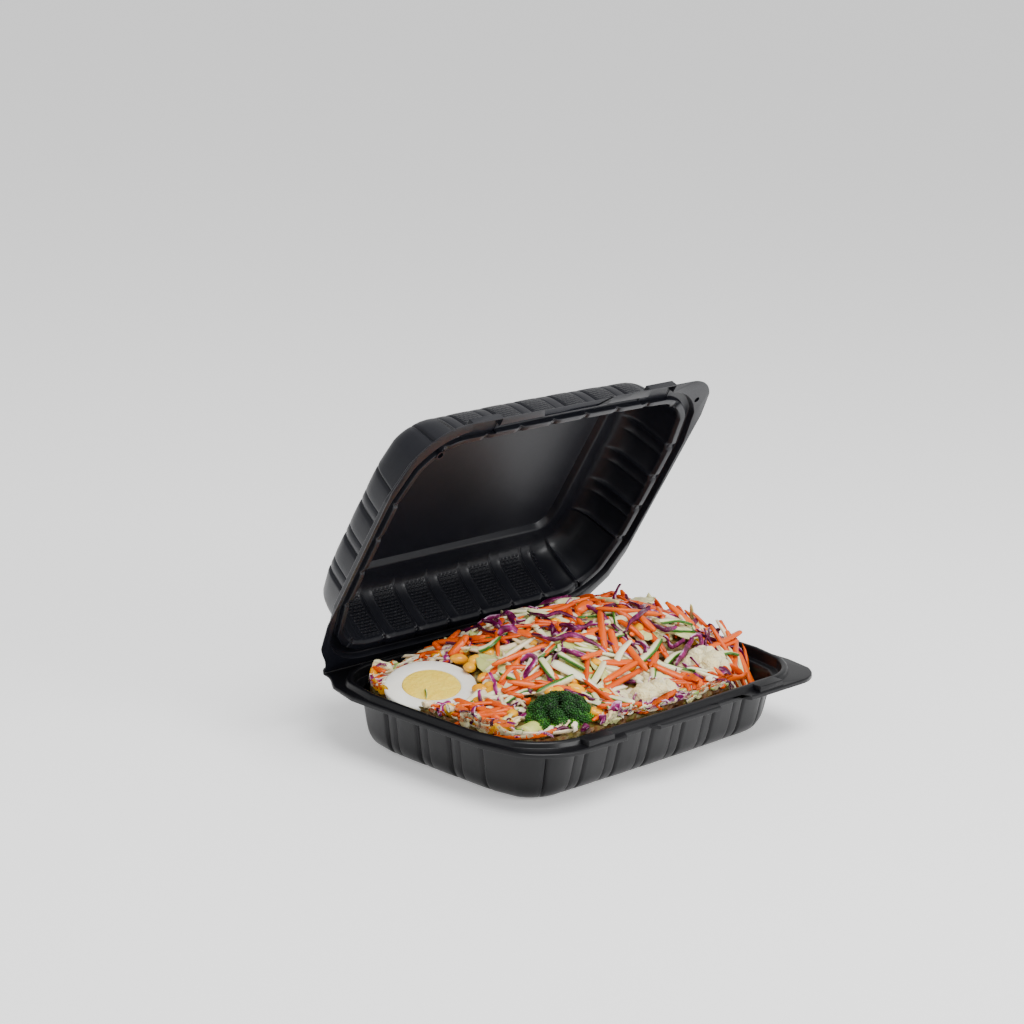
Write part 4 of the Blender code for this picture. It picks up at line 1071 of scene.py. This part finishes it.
for px, py, lift, ax, ay, la, lb, tone, ruffle in (
    (500, 662, 3.0, 12, 14, 15, 11, .25, 3.0), (580, 641, 4.0, 20, 3, 15, 7, .15, 2.4),
    (640, 600, 4.0, 14, 3, 12, 7, .7, 3.0),
    (690, 632, 4.0, 12, 4, 12, 7, .5, 3.0), (612, 668, 3.0, 10, 8, 11, 7, .9, 2.0),
    (560, 690, 2.0, 12, 6, 12, 7, .85, 1.6),
    (452, 640, 3.0, 8, 8, 10, 7, .6, 2.4), (660, 680, 3.0, 10, 6, 11, 7, .8, 2.4),
):
    p = seen_at(px, py, lift)
    a = (seen_at(px + ax, py + ay * .5, lift) - p).normalized() * la
    b = a.cross(Vector((-.35, -.3, 1)).normalized()).normalized() * lb
    leaf(bags["leaf"], p, a, b, tone, ruffle, .7, .1, px * .1, 20, 14)
# the crumpled white piece beside the egg and the pale pieces at the near left rim
for px, py, la, lb, tone, ruffle, lift in ((374, 669, 10, 6, 1.0, 5.0, 4.0), (467, 720, 8, 5.5, .95, 2.0, 1.6),
                                           (482, 728, 8.5, 4.5, .95, 2.0, 1.4)):
    p = seen_at(px, py, lift)
    leaf(bags["leaf"], p, RIGHT * la, (UP * .8 + BACK * .3) * lb, tone, ruffle, 1.4, .05, px * .3, 20, 14)

finishes = {"carrot": carrot, "cabbage": cabbage, "cucumber": cucumber, "onion": onion, "corn": corn, "leaf": lettuce}
names = {"carrot": "carrot_strips", "cabbage": "cabbage_shreds", "cucumber": "cucumber_strips", "onion": "pale_shreds",
         "corn": "corn_grains", "leaf": "leaf_pieces"}
core_piece = core.piece("salad_core", shade_core_finish)
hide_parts("salad_heap")
for key, bag in bags.items():
    bag.piece(names[key], finishes[key])

# half an egg: the white with its hollow, and the yolk in it
EGG_RADIUS, EGG_DEPTH, YOLK_RADIUS = 24.6, 15.0, 15.2
TILT, TURN = math.radians(13), math.radians(-135)
e_up = Vector((math.cos(TURN) * math.sin(TILT), math.sin(TURN) * math.sin(TILT), math.cos(TILT)))
e_x = Vector((math.sin(math.radians(43)), -math.cos(math.radians(43)), 0))
e_x = (e_x - e_up * e_x.dot(e_up)).normalized()
e_y = e_up.cross(e_x)


def egg_point(x, y, z):
    return EGG + e_x * x + e_y * y + e_up * z


def turned(name, profile, finish, wobble=0.0, seg=72):
    """A solid of revolution of the egg's own outline, from the middle of its face down and back."""
    bag = Bag()
    v = []
    for r, z in profile:
        for j in range(seg):
            a = 2 * math.pi * j / seg
            k = 1 + wobble * noise(Vector((math.cos(a) * 1.6, math.sin(a) * 1.6, 4.2)))
            egg = 1 - .07 * math.sin(a) * (r / EGG_RADIUS)
            v.append(egg_point(r * k * math.cos(a) * egg, r * k * math.sin(a),
                               z + .12 * noise(Vector((r * math.cos(a) / 6, r * math.sin(a) / 6, 1)))))
    n = len(profile)
    f = tube_faces(n, seg)
    v += [egg_point(0, 0, profile[0][1]), egg_point(0, 0, profile[-1][1])]
    for j in range(seg):
        k = (j + 1) % seg
        f += [(n * seg, k, j), (n * seg + 1, (n - 1) * seg + j, (n - 1) * seg + k)]
    bag.add(v, f, .5)
    return bag.piece(name, finish)


outer = [(EGG_RADIUS * math.cos(a), -.5 - EGG_DEPTH * math.sin(a)) for a in (math.pi / 2 * i / 18 for i in range(18))]
hollow = [(15.5 * math.sin(a), .05 - 10.2 * math.cos(a)) for a in (math.pi / 2 * i / 12 for i in range(1, 13))]
face = [(15.5, .2), (15.9, .4), (20, .42), (23.4, .38), (24.2, .1), (24.55, -.25)]
egg_white = turned("egg_white_shell", hollow[:-1] + face + outer[1:], white)
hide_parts("egg_white")
bowl = [(YOLK_RADIUS * math.cos(a), .05 - 9.9 * math.sin(a)) for a in (math.pi / 2 * i / 12 for i in range(12))]
egg_yolk = turned("egg_yolk_ball", [(4, .52), (8, .50), (11, .46), (13.5, .42), (14.8, .30)] + bowl, yolk, .02)
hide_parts("egg_yolk")


GOLDEN = 2.39996        # turn between neighbours that are spread evenly over a dome


def ball(bag, centre, r, tone, level=1, seed=0.0, bump=0.0, flat=1.0):
    v, f = icos[level]
    out = []
    for p in v:
        s = 1 + (bump * noise(Vector(p) * 1.4 + Vector((seed, 0, 0))) if bump else 0.0)
        out.append(inside(Vector(centre) + Vector((p[0] * s, p[1] * s, p[2] * s * flat)) * r))
    bag.add(out, f, tone)


icos = {}
for level in (1, 2, 3):
    bm = bmesh.new()
    bmesh.ops.create_icosphere(bm, subdivisions=level, radius=1.0)
    icos[level] = ([tuple(q.co) for q in bm.verts], [tuple(q.index for q in face.verts) for face in bm.faces])
    bm.free()

# broccoli: knobs over a dome, each set with buds, on a pale stalk
buds, stem = Bag(), Bag()
r = random.Random(3)
cx, cy, cz, rx, ry, rz = -61, -47.0, 34.4, 20.5, 15.5, 13.5
KNOBS, BUDS = 40, 84
for i in range(KNOBS):
    z = 1 - 1.3 * (i + .5) / KNOBS
    a = i * GOLDEN + .35 * r.random()
    q = math.sqrt(max(0, 1 - z * z))
    k = r.uniform(3.5, 4.9)
    c = Vector((cx + rx * .80 * q * math.cos(a), cy + ry * .80 * q * math.sin(a), cz + rz * .80 * z))
    ball(buds, c, k * .86, .12 + .5 * (1 - z) ** 2, 2)
    out = (c - Vector((cx, cy, cz - 4))).normalized()
    for j in range(BUDS):
        w = 1 - 1.35 * (j + .5) / BUDS
        b = j * GOLDEN + i
        s = math.sqrt(max(0, 1 - w * w))
        u = out.orthogonal().normalized()
        d = u * math.cos(b) * s + out.cross(u) * math.sin(b) * s + out * w
        p = c + d * k * r.uniform(.88, 1.04)
        size = r.uniform(.42, .74)
        # painted light: buds facing out from their knob are lighter and buds turned into the gaps between knobs
        # darker, a painted shade in the gaps; lower knobs are lighter green
        ball(buds, p, size, min(1, max(0, .12 + .25 * w + r.uniform(-.12, .16) + .55 * (1 - z) ** 2)), 1)
a, b = Vector((-91, -51, 33.6)), Vector((-70, -46, 34.0))
stick(stem, [a, a.lerp(b, .35), a.lerp(b, .7), b], 11, 10, .5, .2, 0, 1.0, 14, 14, .3, .6, .9, 3)
for dy, dz in ((-5, 1), (4, 2), (0, 5)):
    fork = [a.lerp(b, .45), b + Vector((4, dy, dz)), b + Vector((9, dy * 1.6, dz + 2))]
    stick(stem, fork, 6, 6, .5, 0, 0, 1.0, 8, 10, .2, .6, .9, dy)
bud_piece, stem_piece = buds.piece("broccoli_crown", bud), stem.piece("broccoli_stem", stalk)
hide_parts("broccoli_floret")


def lumps(bag, centre, spread, count, reach, sizes, step, bump):
    """Soft lumps spread over a dome."""
    for i in range(count):
        z = 1 - reach * (i + .5) / count
        a = i * GOLDEN
        q = math.sqrt(max(0, 1 - z * z))
        p = [c + d * e for c, d, e in zip(centre, spread, (q * math.cos(a), q * math.sin(a), z))]
        size = r.uniform(*sizes)
        ball(bag, p, size, r.random(), 3, i * step, bump)


# cauliflower: soft cream curds
curds = Bag()
ball(curds, (57, -45, 38.6), 11.5, .6, 3, 2.0, .12, .8)
lumps(curds, (57, -45, 38.8), (9.2, 8.2, 6.2), 13, 1.2, (4.6, 6.6), 1.3, .22)
curd_piece = curds.piece("cauliflower_curds", curd)
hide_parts("cauliflower_floret")
chunk = Bag()
lumps(chunk, (4, -55, 36.0), (13.5, 3.4, 3.6), 11, 1.1, (4.0, 5.6), 2.3, .24)
chunk_piece = chunk.piece("pale_chunk_curds", curd)
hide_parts("pale_chunk")

# a green sprig lying on the egg
sprig = Bag()
stick(sprig, [egg_point(-3, -6, 1.0), egg_point(-2, -10, 1.4), egg_point(-2.4, -15, 1.0)], 2.2, .9, .2, 1.2, .4, .5,
      10, 6, .3, 1, .7, 2, 1.0)
sprig.piece("green_sprig", cucumber)

# the thin living hinge that joins the two flanges: a strip with a fold line, from under one to over the other
path = [(81.6, 33.12), (82.8, 33.1), (83.8, 33.12), (84.5, 33.4), (84.85, 33.95), (84.75, 34.45), (84.95, 34.95),
        (84.95, 35.5), (84.7, 36.1), (84.3, 36.7)]
xs = [-101.6 + 203.2 * i / 90 for i in range(91)]
verts = []
for x in xs:
    half_thick = 0.22 if abs(abs(x) - 90) > 12 else .30
    line = []
    for side in (1, -1):
        for i, (y, z) in enumerate(path):
            a, b = path[max(i - 1, 0)], path[min(i + 1, len(path) - 1)]
            dy, dz = b[0] - a[0], b[1] - a[1]
            d = math.hypot(dy, dz)
            line.append((x, y + side * half_thick * dz / d, z - side * half_thick * dy / d))
    verts += line[:len(path)] + line[len(path):][::-1]
n = 2 * len(path)
faces = tube_faces(len(xs), n)
faces += [tuple(range(n)), tuple(range((len(xs) - 1) * n, len(xs) * n))[::-1]]
hinge = mesh_object("hinge_web", verts, faces)
face_outward(hinge.data)
hinge.data.shade_smooth()
hinge.data.materials.append(tray_finish.data)
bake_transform(hinge)

# camera, floor and light
cam_data = bpy.data.cameras.new("camera")
cam = bpy.data.objects.new("camera", cam_data)
bpy.context.scene.collection.objects.link(cam)
cam_data.sensor_width = 36.0
cam_data.lens = FOCAL_PX / (2 * MIDDLE) * cam_data.sensor_width
cam_data.clip_end = 20.0
m = Matrix((RIGHT, UP, BACK)).transposed().to_4x4()
m.translation = EYE * MM
cam.matrix_world = m
bpy.context.scene.camera = cam


def light(name, place, aim, size, power, colour=(1, 1, 1)):
    data = bpy.data.lights.new(name, "AREA")
    data.shape, data.size, data.size_y = "RECTANGLE", size[0], size[1]
    data.energy, data.color = power, colour
    ob = bpy.data.objects.new(name, data)
    bpy.context.scene.collection.objects.link(ob)
    ob.location = place
    ob.rotation_euler = (Vector(aim) - Vector(place)).to_track_quat("-Z", "Y").to_euler()
    return ob


floor_finish = Finish("pale_floor", Roughness=.9, Emission_Color=(1, 1, 1, 1), Emission_Strength=.35)
floor_finish.feed("Base Color", floor_finish.mix(floor_finish.noise(3.0), (.92, .92, .92), (.93, .93, .93)))
bm = bmesh.new()
bmesh.ops.create_grid(bm, x_segments=1, y_segments=1, size=6.0)
bmesh.ops.translate(bm, verts=bm.verts, vec=(0, 0, -.0002))
me = bpy.data.meshes.new("floor")
bm.to_mesh(me)
bm.free()
floor = bpy.data.objects.new("floor", me)
bpy.context.scene.collection.objects.link(floor)
me.materials.append(floor_finish.data)

world = bpy.data.worlds.new("studio")
bpy.context.scene.world = world
world.use_nodes = True
world.node_tree.nodes["Background"].inputs["Color"].default_value = (1, 1, 1, 1)
world.node_tree.nodes["Background"].inputs["Strength"].default_value = .75
light("key", (-.15, -.45, 1.3), (0, 0, .05), (.9, .7), 20)
light("left", (-1.4, .25, .55), (0, 0, .08), (.5, .9), 2)
light("front", (.35, -1.3, .55), (0, .05, .08), (.8, .5), 11)

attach(tray, "base")
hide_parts("base_tray")
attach(lid, "lid")
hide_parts("lid_cover")
